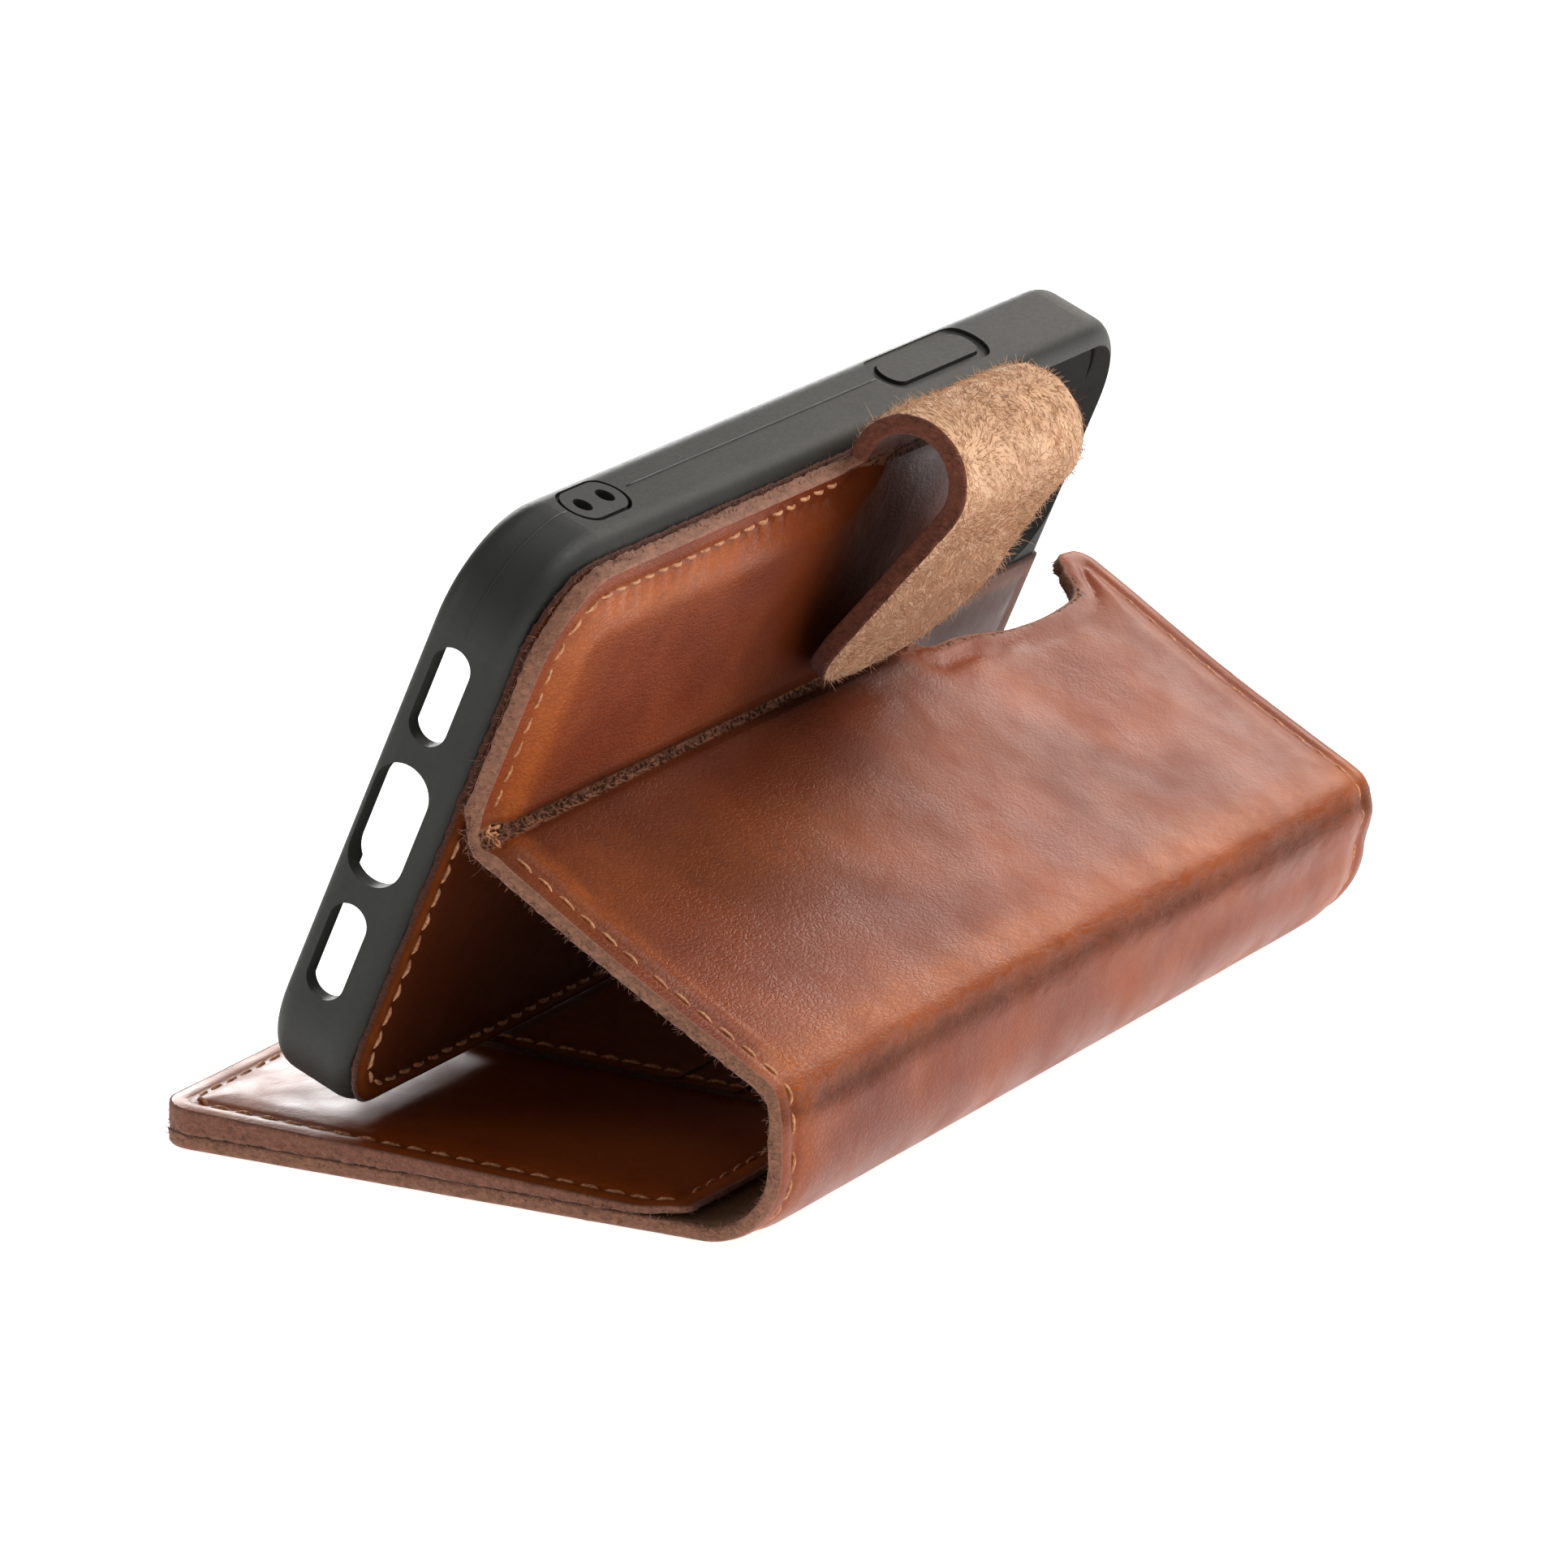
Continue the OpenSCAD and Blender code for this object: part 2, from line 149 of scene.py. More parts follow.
class Path:
    """Points and headings along a row of straights and arcs."""

    def __init__(self, start, segments):
        self.s0, self.p0, self.h0, self.k = [], [], [], []
        self.at = {}
        s, p, h = 0.0, np.array(start, float), 0.0
        for name, length, turn in segments:
            k = turn / length
            self.s0.append(s)
            self.p0.append(p)
            self.h0.append(h)
            self.k.append(k)
            self.at[name] = s
            p = self._step(p, h, k, length)
            h += turn
            s += length
        self.at["end"] = s

    @staticmethod
    def _step(p, h, k, d):
        if abs(k) < 1e-9:
            return p + d * np.array([math.cos(h), math.sin(h)])
        return p + np.array([math.sin(h + k * d) - math.sin(h),
                             math.cos(h) - math.cos(h + k * d)]) / k

    def point(self, s, d=0.0):
        """Y and Z at s, moved d towards the grain side; s and d may be arrays."""
        s = np.atleast_1d(np.asarray(s, float))
        i = np.clip(np.searchsorted(self.s0, s, side="right") - 1, 0, None)
        ds = s - np.array(self.s0)[i]
        h0, k = np.array(self.h0)[i], np.array(self.k)[i]
        h = h0 + k * ds
        p0 = np.array(self.p0)[i]
        bent = np.abs(k) > 1e-9
        kk = np.where(bent, k, 1.0)
        dy = np.where(bent, (np.sin(h) - np.sin(h0)) / kk, ds * np.cos(h0))
        dz = np.where(bent, (np.cos(h0) - np.cos(h)) / kk, ds * np.sin(h0))
        out = np.stack([p0[:, 0] + dy, p0[:, 1] + dz], axis=1)
        return out + np.stack([np.sin(h), -np.cos(h)], axis=1) * np.reshape(d, (-1, 1))


PATH = Path((COVER_LO[1], HALF), path_segments())
S = PATH.at
S_CREASE = (S["crease"] + S["upper"]) / 2
S_TOP = S["root"]
S_NOTCH = S["panel"] + PANEL_LEN - NOTCH_D - TOP_R * math.tan((math.pi / 2 - SLOPE) / 2)
S_HORN = S_NOTCH + 6.6
S_CREASE_LO = S_NOTCH + NOTCH_R


# ---- shaping functions ----

def smooth(x, lo, hi):
    t = np.clip((x - lo) / (hi - lo), 0, 1)
    return t * t * (3 - 2 * t)


def bell(x, mid, width):
    return np.exp(-((x - mid) / width) ** 2)


def waves(x, s, size, seed, rounds=5):
    """Smooth random relief, about -1 to 1, made of a few plane waves."""
    rng = np.random.default_rng(seed)
    out = np.zeros(np.shape(x))
    for i in range(rounds):
        a = rng.uniform(0, 2 * math.pi)
        f = 2 * math.pi / (size * rng.uniform(0.6, 1.6))
        out = out + np.sin(f * (x * math.cos(a) + s * math.sin(a)) + rng.uniform(0, 7))
    return out / rounds


# ---- outlines on the developed hide ----

def arc(cx, cy, r, a0, a1, step=0.6):
    """Points along an arc, angles in degrees, both ends included."""
    n = max(3, int(abs(math.radians(a1 - a0)) * r / step) + 1)
    t = np.radians(np.linspace(a0, a1, n))
    return [(cx + r * math.cos(a), cy + r * math.sin(a)) for a in t]


def dense(corners, step=0.9):
    """A closed outline with a point at least every step."""
    out = []
    for i, a in enumerate(corners):
        b = corners[(i + 1) % len(corners)]
        n = max(1, int(math.dist(a, b) / step))
        out += [(a[0] + (b[0] - a[0]) * j / n, a[1] + (b[1] - a[1]) * j / n)
                for j in range(n)]
    clean = [out[0]]
    for p in out[1:]:
        if math.dist(p, clean[-1]) > 0.05:
            clean.append(p)
    if math.dist(clean[0], clean[-1]) < 0.05:
        clean.pop()
    return clean


def tongue_end(s_end, depth=12.5, square=0.75, n=32):
    """The strap's rounded end, from its +X side to its -X side."""
    x0, x1 = STRAP_X
    t = np.linspace(0, math.pi, n)
    x = (x0 + x1) / 2 + (x1 - x0) / 2 * np.sign(np.cos(t)) * np.abs(np.cos(t)) ** square
    s = s_end - depth + depth * np.abs(np.sin(t)) ** square
    return list(zip(x.tolist(), s.tolist()))


def strap_far_side(n=9):
    """The strap's far side, which flares from its root to its end."""
    s0, s1 = S["tongue"] + 4, S["end"] - 12
    t = np.linspace(0, 1, n)
    x = STRAP_FAR + (STRAP_X[0] - STRAP_FAR) * t ** 1.3
    return [(a, s0 + (s1 - s0) * b) for a, b in zip(x, t)]


def free_corners(s=0.0):
    """The two corners of the cover, or of its lining, beside a free edge at s."""
    c = COVER_CORNER_R
    return arc(FAR_X + c, s + c, c, 180, 270) + arc(NEAR_X - c, s + c, c, -90, 0)


def notch_line():
    """The lower panel's upper edge from the crease side of the notch round the horn."""
    x0, x1 = NOTCH_X
    floor = [(x, S_NOTCH + 1.8 * (1 - smooth(-x, 38, 52)) - 0.6 * bell(x, -57, 8))
             for x in np.linspace(x1 - 4, x0 + 4, 16)]
    r = 5.4
    return ([(x1, S_CREASE_LO)] + floor
            + arc(x0 + 3, S_NOTCH + r, r, -95, -165)
            + arc(x0 - 5.7, S_HORN - HORN_R, HORN_R, 10, 90)
            + arc(FAR_X + 3, S_HORN - 3.2, 3, 90, 180))


def upper_line():
    """The upper panel's edge from its near side round its corner to the strap."""
    r = PANEL_CORNER_R
    return arc(NEAR_X - r, S_TOP - r, r, 0, 90)


def tongue_line():
    """The strap's rounded end and its far side, back to where it begins to flare."""
    return tongue_end(S["end"]) + strap_far_side()[::-1]


NEAR_FOOT = [(STRAP_X[1] + ROOT_R, S_TOP), (STRAP_X[1], S_TOP + ROOT_R)]
FAR_FOOT = [(STRAP_FAR, S_TOP + ROOT_R), (STRAP_FAR - ROOT_R, S_TOP), (NOTCH_X[1], S_TOP)]


def hide_outline():
    """The whole hide's cut edge, used for distances from it."""
    near = ([(NEAR_X, 20), (NEAR_X, S_TOP - 20)] + upper_line() + NEAR_FOOT
            + tongue_line() + FAR_FOOT)
    return dense(near + notch_line() + [(FAR_X, 20)] + free_corners(), 0.7)


OUTLINE = np.array(hide_outline())


def distance_to(points, outline):
    """Shortest distance from each point to a closed outline."""
    a = outline
    b = np.roll(outline, -1, axis=0)
    ab = b - a
    out = np.full(len(points), 1e9)
    for i in range(0, len(points), 4000):
        p = points[i:i + 4000, None, :]
        t = np.clip(((p - a) * ab).sum(2) / np.maximum((ab * ab).sum(1), 1e-9), 0, 1)
        d = np.sqrt((((a + t[..., None] * ab) - p) ** 2).sum(2))
        out[i:i + 4000] = d.min(axis=1)
    return out


# ---- sheets: a flat outline laid on a surface, with a top, a bottom and an edge ----

def inside(points, outline):
    """Which points lie inside a closed outline."""
    x, y = points[:, 0][:, None], points[:, 1][:, None]
    a, b = outline, np.roll(outline, -1, axis=0)
    cross = (a[:, 1] > y) != (b[:, 1] > y)
    slope = np.where(b[:, 1] == a[:, 1], 1e-9, b[:, 1] - a[:, 1])
    at = (b[:, 0] - a[:, 0]) * (y - a[:, 1]) / slope + a[:, 0]
    return (cross & (x < at)).sum(1) % 2 == 1


def inset(outline, d):
    """A closed counter-clockwise outline moved inwards by d."""
    a = np.roll(outline, 1, axis=0)
    b = np.roll(outline, -1, axis=0)
    e0 = outline - a
    e1 = b - outline
    e0 /= np.linalg.norm(e0, axis=1)[:, None]
    e1 /= np.linalg.norm(e1, axis=1)[:, None]
    n = np.stack([-(e0 + e1)[:, 1], (e0 + e1)[:, 0]], axis=1)
    n /= np.maximum(np.linalg.norm(n, axis=1), 1e-6)[:, None]
    n0 = np.stack([-e0[:, 1], e0[:, 0]], axis=1)
    lean = np.clip((n * n0).sum(1), 0.5, 1)
    return outline + n * (d / lean)[:, None]


def ccw(outline):
    x, y = outline[:, 0], outline[:, 1]
    area = (x * np.roll(y, -1) - np.roll(x, -1) * y).sum()
    return outline if area > 0 else outline[::-1]


def edge_gauge(outline):
    """A function that gives how far flat points lie from a closed outline."""
    edge = ccw(np.array(dense(outline)))
    return lambda x, y: distance_to(np.column_stack([x, y]), edge)


def grid_spots(outline, xs, ss, gap):
    """Grid points inside an outline and at least gap from it."""
    g = np.array(np.meshgrid(xs, ss)).reshape(2, -1).T
    g = g[inside(g, outline)]
    return g[distance_to(g, outline) > gap]


def rows(lo, hi, step, finer=()):
    """Places from lo to hi; finer lists (middle, reach, step) of the closer stretches."""
    out = [lo]
    while out[-1] < hi:
        d = step
        for mid, reach, fine in finer:
            if abs(out[-1] - mid) < reach:
                d = min(d, fine)
        out.append(out[-1] + d)
    return np.array(out[:-1] + [hi])


# Face slots of a sheet: grain, cut edge, flesh, fuzz, and the flat wall of a join.
GRAIN, CUT, FLESH_SIDE, FUZZY, WALL = 0, 1, 2, 3, 9


def make_mesh(name, verts, faces, mats, slots, tones=None):
    """A smooth mesh. Faces in slot WALL get the cut edge's material and sharp borders."""
    mesh = bpy.data.meshes.new(name)
    mesh.from_pydata((np.asarray(verts) * MM).tolist(), [], faces)
    for m in mats:
        mesh.materials.append(m)
    for key, values in (tones or {}).items():
        layer = mesh.attributes.new(key, "FLOAT", "POINT")
        layer.data.foreach_set("value", np.asarray(values, np.float32))
    bm = bmesh.new()
    bm.from_mesh(mesh)
    bm.faces.ensure_lookup_table()
    join = set()
    for f, slot in zip(bm.faces, slots):
        f.material_index = CUT if slot == WALL else slot
        f.smooth = True
        if slot == WALL:
            join.add(f.index)
    for e in bm.edges:
        kinds = {f.index in join for f in e.link_faces}
        e.smooth = len(kinds) < 2
    bmesh.ops.recalc_face_normals(bm, faces=bm.faces)
    bm.to_mesh(mesh)
    bm.free()
    obj = bpy.data.objects.new(name, mesh)
    bpy.context.scene.collection.objects.link(obj)
    return obj


def hairs(roots, ways, length, radius, rng):
    """Short tapered closed hairs, in the sheet's own (x, s, d) space."""
    n = len(roots)
    if not n:
        return np.zeros((0, 3)), []
    ways = ways / np.linalg.norm(ways, axis=1)[:, None]
    side = np.cross(ways, rng.normal(size=(n, 3)))
    side /= np.linalg.norm(side, axis=1)[:, None]
    other = np.cross(ways, side)
    size = length * rng.uniform(0.35, 1.0, (n, 1))
    curl = rng.normal(0, 0.45, (n, 3))
    out = np.zeros((n, 10, 3))
    for k, (t, r) in enumerate(((-0.1, 1.0), (0.4, 0.8), (0.75, 0.5))):
        mid = roots + size * (ways * t + curl * t * abs(t))
        for j in range(3):
            a = 2 * math.pi * j / 3
            out[:, 3 * k + j] = mid + radius * r * (side * math.cos(a) + other * math.sin(a))
    out[:, 9] = roots + size * (ways + curl)
    shape = [(0, 2, 1)] + [(3 * k + j, 3 * k + (j + 1) % 3, 3 * k + 3 + (j + 1) % 3,
                            3 * k + 3 + j) for k in range(2) for j in range(3)]
    shape += [(6 + j, 6 + (j + 1) % 3, 9) for j in range(3)]
    faces = [[10 * i + v for v in f] for i in range(n) for f in shape]
    return out.reshape(-1, 3), faces


def edge_fibres(loop, free, low, high, m, length, rng):
    """m loose fibres along the free cut edge, most of them near the flesh side."""
    i = rng.choice(free, m)
    t = rng.random((m, 1))
    at = loop[i] * (1 - t) + loop[(i + 1) % len(loop)] * t
    out = (loop - inset(loop, 1.0))[i]
    d = low[i] + (high - low)[i] * rng.random(m) ** 2.2 * 0.7
    ways = np.column_stack([out * 0.8, np.full(m, -0.55)]) + rng.normal(0, 0.45, (m, 3))
    return hairs(np.column_stack([at, d]), ways, length, 0.045, rng)


def flesh_fur(loop, inner, half, density, length, rng):
    """The nap of the flesh side, combed along slow random swirls."""
    box = loop.max(0) - loop.min(0)
    at = loop.min(0) + rng.random((int(density * box[0] * box[1]), 2)) * box
    at = at[inside(at, inner)]
    m = len(at)
    drift = np.column_stack([waves(at[:, 0], at[:, 1], 16, seed) for seed in (41, 42)])
    ways = np.column_stack([3.0 * drift, np.full(m, -0.35)]) + rng.normal(0, 0.5, (m, 3))
    ways[:, 2] = -np.abs(ways[:, 2])
    return hairs(np.column_stack([at, np.full(m, -half - 0.02)]), ways, length, 0.05, rng)


def grain_fuzz(inner, half, top, s_mid, s_wide, density, x_lo, x_hi, rng):
    """Torn fibres in a band of the grain side where it is cut through."""
    m = int(density * (x_hi - x_lo) * 2 * s_wide)
    at = np.column_stack([rng.uniform(x_lo, x_hi, m), s_mid + s_wide * rng.normal(0, 0.5, m)])
    at = at[inside(at, inner)]
    ways = rng.normal(0, 1, (len(at), 3))
    ways[:, 2] = np.abs(ways[:, 2]) * 0.8
    roots = np.column_stack([at, half + top(at[:, 0], at[:, 1])])
    return hairs(roots, ways, 0.75, 0.05, rng)


def sheet(name, corners, place, half, mats, xs, ss, top=None, bottom=None, joins=(),
          rim=0.35, under=0.1, step=0.8, gap=0.4, tones=None, ragged=1.0, edge_hair=0.0,
          edge_length=0.8, flesh_hair=0.0, flesh_length=1.0, grain_hair=None):
    """A leather sheet with round cut edges.

    place(x, s, d) gives points in 3D. top and bottom give extra height on each side.
    joins are the s lines where it meets a neighbour without an edge. tones gives shader
    attributes. Hair counts are per millimetre of edge and per square millimetre, and
    grain_hair is the middle, half width, density and x range of a fuzzy band."""
    rng = np.random.default_rng(sum(map(ord, name)))
    loop = ccw(np.array(dense(corners, step)))
    n = len(loop)
    on_join = np.zeros(n, bool)
    for s in joins:
        on_join |= np.abs(loop[:, 1] - s) < 1e-6
    within = on_join & np.roll(on_join, 1) & np.roll(on_join, -1)

    def ring_line(d, shake=0.0):
        line = inset(loop, d)
        if shake:
            line = line + (inset(loop, 1.0) - loop) * rng.normal(0, shake, n)[:, None]
        line[on_join, 1] = loop[on_join, 1]
        line[within] = loop[within]
        return line

    inner = ring_line(rim)
    spots = grid_spots(inner, xs, ss, gap)
    flat = np.vstack([inner, spots])
    got = geometry.delaunay_2d_cdt([Vector(p) for p in flat.tolist()], [],
                                   [list(range(n))], 1, 1e-6)
    flat = np.array([tuple(v) for v in got[0]])
    origin = {}
    for i, o in enumerate(got[3]):
        for v in o:
            origin[v] = i
    ring = [origin[i] for i in range(n)]
    count = len(flat)
    up = top(flat[:, 0], flat[:, 1]) if top else np.zeros(count)
    down = bottom(flat[:, 0], flat[:, 1]) if bottom else np.zeros(count)
    verts = [place(flat[:, 0], flat[:, 1], half + up),
             place(flat[:, 0], flat[:, 1], -half - down)]
    high, low = half + up[ring], -half - down[ring]
    xy = [flat, flat]
    for back, share, shake in ((0.3 * rim, 1, 0.01), (0.0, 0.84, 0.02), (0.0, 0.62, 0.04),
                               (0.0, 0.38, 0.05), (0.0, 0.16, 0.10), (under, 0, 0.13)):
        line = ring_line(back, shake * ragged)
        d = low + share * (high - low)
        d = d + (0.12 * rim if share == 0 else -0.12 * rim if share == 1 else 0.0)
        d = np.where(on_join, low + share * (high - low), d)
        verts.append(place(line[:, 0], line[:, 1], d))
        xy.append(line)
    faces, slots = [], []
    for t in got[2]:
        faces += [list(t), [t[0] + count, t[2] + count, t[1] + count]]
        slots += [GRAIN, FLESH_SIDE]
    first = 2 * count
    loops = [ring] + [list(range(first + i * n, first + (i + 1) * n))
                      for i in range(6)] + [[r + count for r in ring]]
    level = np.abs(loop[:, 1] - np.roll(loop[:, 1], -1)) < 1e-6
    joined = on_join & np.roll(on_join, -1) & level
    for a, b in zip(loops[:-1], loops[1:]):
        for j in range(n):
            k = (j + 1) % n
            faces.append([a[j], a[k], b[k], b[j]])
            slots.append(WALL if joined[j] else CUT)
    total = first + 6 * n
    fur = []
    if edge_hair:
        free = np.flatnonzero(~joined)
        count = int(edge_hair * len(free) * step)
        fur.append((CUT, edge_fibres(loop, free, low, high, count, edge_length, rng)))
    if flesh_hair:
        fur.append((FLESH_SIDE, flesh_fur(loop, inner, half, flesh_hair, flesh_length, rng)))
    if grain_hair:
        fur.append((FUZZY, grain_fuzz(inner, half, top, *grain_hair, rng)))
    for slot, (points, polys) in fur:
        if not len(points):
            continue
        verts.append(place(points[:, 0], points[:, 1], points[:, 2]))
        xy.append(points[:, :2])
        faces += [[v + total for v in f] for f in polys]
        slots += [slot] * len(polys)
        total += len(points)
    all_xy = np.vstack(xy)
    marks = {k: f(all_xy[:, 0], all_xy[:, 1]) for k, f in (tones or {}).items()}
    return make_mesh(name, np.vstack(verts), faces, mats, slots, marks)


# ---- thread ----

def along(points, pitch=PITCH, lead=0.0):
    """Pairs of ends of the stitches that follow a row of points."""
    p = np.array(points, float)
    d = np.r_[0, np.cumsum(np.linalg.norm(np.diff(p, axis=0), axis=1))]
    count = max(1, int((d[-1] - lead) / pitch))
    at = lambda t: np.array([np.interp(t, d, p[:, 0]), np.interp(t, d, p[:, 1])])
    return [(at(lead + k * pitch + 0.15), at(lead + (k + 1) * pitch - 0.15))
            for k in range(count)]


def stitches(name, ends, place, height, side=1, radius=0.24):
    """Two-ply stitches that arch out of the leather and dive back in.

    height(x, s) is the leather's surface, and side is 1 on top or -1 underneath."""
    rng = np.random.default_rng(sum(map(ord, name)))
    rings, sides = 11, 9
    t = np.linspace(0, 1, rings)
    a = np.array([e[0] for e in ends])[:, None]
    b = np.array([e[1] for e in ends])[:, None]
    m = len(ends)
    way = (b - a) / np.linalg.norm(b - a, axis=2)[..., None]
    lat = np.stack([-way[..., 1], way[..., 0]], axis=2)
    slant = rng.normal(0.16, 0.06, (m, 1, 1)) * (t - 0.5)[None, :, None] * 2
    mid = a + (b - a) * t[None, :, None] + lat * (slant + rng.normal(0, 0.05, (m, 1, 1)))
    base = height(mid[..., 0].ravel(), mid[..., 1].ravel()).reshape(m, rings)
    lift = radius * (0.55 - 2.1 * np.abs(2 * t - 1) ** 3)[None] * rng.uniform(0.8, 1.15, (m, 1))
    fat = radius * (1 - 0.45 * np.abs(2 * t - 1) ** 4)
    phase = rng.uniform(0, 6, (m, 1, 1))
    angle = np.linspace(0, 2 * math.pi, sides, endpoint=False)
    ply = 1 + 0.17 * np.cos(2 * angle[None, None] - 2 * math.pi * 1.7 * t[None, :, None] + phase)
    r = fat[None, :, None] * ply
    x = mid[..., 0, None] + lat[..., 0, None] * r * np.cos(angle)
    s = mid[..., 1, None] + lat[..., 1, None] * r * np.cos(angle)
    d = (base + lift)[..., None] + r * np.sin(angle)
    verts = place(x.ravel(), s.ravel(), side * d.ravel())
    faces = []
    for i in range(m):
        o = i * rings * sides
        for k in range(rings - 1):
            for j in range(sides):
                l = (j + 1) % sides
                faces.append([o + k * sides + j, o + k * sides + l,
                              o + (k + 1) * sides + l, o + (k + 1) * sides + j])
        faces.append([o + j for j in range(sides)][::-1])
        faces.append([o + (rings - 1) * sides + j for j in range(sides)])
    piece = make_mesh(name, verts, faces, [THREAD], [0] * len(faces))
    return piece


# ---- the hide as a surface ----

def sag(x, s):
    """The lower panel hangs a little between the spine and the crease."""
    t = np.clip((s - S["panel"]) / (S["crease"] - S["panel"]), 0, 1)
    hang = -0.4 * np.sin(math.pi * t) ** 2
    roll = 0.07 * waves(x, s, 42, 3) * smooth(s, S["base"] + 4, S["spine"])
    return hang + roll * (1 - smooth(s, S["crease"] - 6, S["crease"] - 1))


def lean_out(x, s):
    """The spine's far end bows outwards, and the free horn goes with it."""
    far = smooth(-x, -30, 76)
    spine = smooth(s, S["base"] + 3, S["spine"]) * (1 - smooth(s, S["panel"], S["panel"] + 24))
    bow = 0.6 * spine * bell(s, S["spine"] + 3, 9)
    horn = 1.2 * smooth(s, S["spine"], S["top"]) * (
        1 - smooth(s, S["panel"], S["crease"]) * (1 - smooth(-x, 40, 62)))
    return far * (bow + horn * (1 - smooth(s, S["crease"] + 4, S["upper"] + 6)))


def past_crease(x, s):
    """How far a point of the free horn lies beyond the crease line."""
    return np.where(x < NOTCH_X[1] - 2, np.maximum(s - S["crease"], 0), 0.0)


def on_hide(x, s, d):
    """Points of the hide in space; the horn runs straight on past the crease."""
    x, s = np.asarray(x, float), np.asarray(s, float)
    past = past_crease(x, s)
    yz = PATH.point(s - past, np.asarray(d) + sag(x, s))
    y = yz[:, 0] - past * math.cos(SLOPE) + lean_out(x, s)
    return np.column_stack([x, y, yz[:, 1] + past * math.sin(SLOPE)])


def edge_distance(x, s, near=12.0):
    """Distance to the hide's cut edge, exact only for points close to it."""
    points = np.column_stack([x, s])
    out = distance_to(points, OUTLINE[::8])
    close = out < near
    out[close] = distance_to(points[close], OUTLINE)
    return out


def on_body(x):
    """1 over the stretch that has a crease and an upper panel, 0 over the notch and horn."""
    return smooth(x, NOTCH_X[1] - 3, NOTCH_X[1])


def on_upper(x, s):
    return smooth(s, S_CREASE + 0.4, S["upper"] + 2.5) * on_body(x)


def near_knot(x, s):
    """1 around the puckered spot where the near seam passes the crease."""
    return np.exp(-((x - (NEAR_X - SEAM)) / 3.0) ** 2 - ((s - S_CREASE) / 2.6) ** 2)


def seam_rise(x):
    """How far the upper panel's top seam climbs towards the edge beside the strap."""
    return 1.8 * (1 - smooth(x, STRAP_X[1], STRAP_X[1] + 42))


def stitch_phase(x):
    return np.cos(2 * math.pi * (x - NEAR_X) / PITCH)


def grain_relief(x, s):
    """Height of the grain side: pinched seams, padded middle, folds and wrinkles."""
    e = edge_distance(x, s)
    body, up = on_body(x), on_upper(x, s)
    flat_strap = 1 - smooth(s, S_TOP - 1, S_TOP + 2)
    panel = smooth(s, S["panel"] - 1, S["panel"] + 5) * (
        1 - smooth(s, S_CREASE - 4, S_CREASE - 1))
    pinch = (0.45 + 0.95 * up) * (1 - smooth(e, SEAM - 0.4, SEAM + 4.5))
    groove = 0.30 * bell(e, SEAM, 0.6) + 0.2 * bell(e, 0, 0.8)
    out = -flat_strap * (pinch + groove)
    out += 0.30 * panel * smooth(x, 0, 30) * bell(e, SEAM + 1.9, 1.1)
    tick = bell(S_TOP - s + seam_rise(x), SEAM + 1.3, 1.2) * stitch_phase(x)
    out += 0.20 * tick * (x < NEAR_X - 10) * (x > STRAP_X[1] + 1)
    crease = body * (0.38 * bell(s, S_CREASE, 0.62) - 0.62 * bell(s, S_CREASE, 1.7))
    lips = 0.18 * body * (bell(s, S_CREASE - 3, 1.3) + bell(s, S_CREASE + 3, 1.3))
    knot = 0.30 * near_knot(x, s) * waves(x, s, 1.7, 29, 7)
    spine = bell(s, S["top"] + 1.0, 5.0)
    wrinkle = 0.09 * spine * waves(x, 2.6 * s, 4.2, 11, 9)
    press = -0.30 * bell(s + 0.8 * waves(x, s, 40, 13), S["top"] + 0.6, 1.3)
    soft = 0.02 * waves(x, s, 9, 5, 7)
    root = -0.5 * bell(s, S["root"] + 0.8, 1.2)
    return out + crease + lips + knot + wrinkle + press + soft + root


def flesh_relief(x, s):
    """Depth of the flesh side: furry strap, and the upper panel's board and glue."""
    strap = smooth(s, S["root"], S["curl"])
    fill = 1.6 * on_upper(x, s) * (1 - smooth(s, S_TOP - 0.5, S["root"] + 1.5))
    return (0.03 + 0.07 * strap) * waves(x, s, 2.6, 23, 9) + fill


def burnish_and_shade(x, s):
    """Where the leather is stretched or rubbed and shows its orange undertone; behind the strap it
    is held back as painted shade.
    """
    e = edge_distance(x, s)
    up = on_upper(x, s)
    near = 0.45 + 0.55 * smooth(x, 10, 60)
    shoulder = near * (0.35 + 0.65 * up) * bell(e, SEAM + 2.4, 2.0 + 0.8 * up)
    bend = 0.9 * bell(s, S["panel"] + 0.4, 3.2) * (0.8 + 0.3 * waves(x, s, 30, 2))
    low = 0.15 * bell(s, S["base"] + 8, 5)
    middle = 0.35 * bell(s, S["crease"] - 14, 9) * smooth(waves(x, s, 60, 8), -0.3, 0.6)
    tick = 0.3 * up * bell(S_TOP - s + seam_rise(x), SEAM + 1.3, 0.8) * (1 - stitch_phase(x))
    total = shoulder + bend + low + middle + tick + 0.6 * near_knot(x, s)
    # less orange behind the strap: painted shade of the strap's shadow
    return np.clip(total * (1 - 0.85 * strap_shade(x, s)), 0, 1)


def strap_shade(x, s):
    """1 on the part of the upper panel that lies behind the strap, where the strap's shadow is
    painted.
    """
    return on_upper(x, s) * smooth(-x, -38, -6)


def patina_and_shade(x, s):
    """Where the leather is darker: a streak in the pressed groove of the spine's upper bend,
    random clouds and the strap's grain side, with painted shade along the crease, in the lower
    panel's corner under the upper panel and behind the strap.
    """
    streak = 0.75 * bell(s + 0.8 * waves(x, s, 40, 13), S["top"] + 0.4, 1.5)
    # painted shade in and beside the crease fold
    fold = 0.6 * on_body(x) * bell(s, S_CREASE, 4.0)
    # painted shade: the lower panel darker towards the crease and the near end, where the upper
    # panel leans over it
    corner = 0.9 * smooth(s, S["crease"] - 36, S["crease"] - 10) * (1 - on_upper(x, s))
    corner = corner * smooth(x, -45, 15)
    # painted shadow of the strap on the upper panel
    shade = 0.6 * strap_shade(x, s)
    cloud = 0.25 * smooth(waves(x, s, 45, 17), 0.0, 0.8)
    strap = 0.75 * smooth(s, S["root"] - 1, S["root"] + 3)
    return np.clip(streak + fold + corner + shade + cloud + strap, 0, 1)


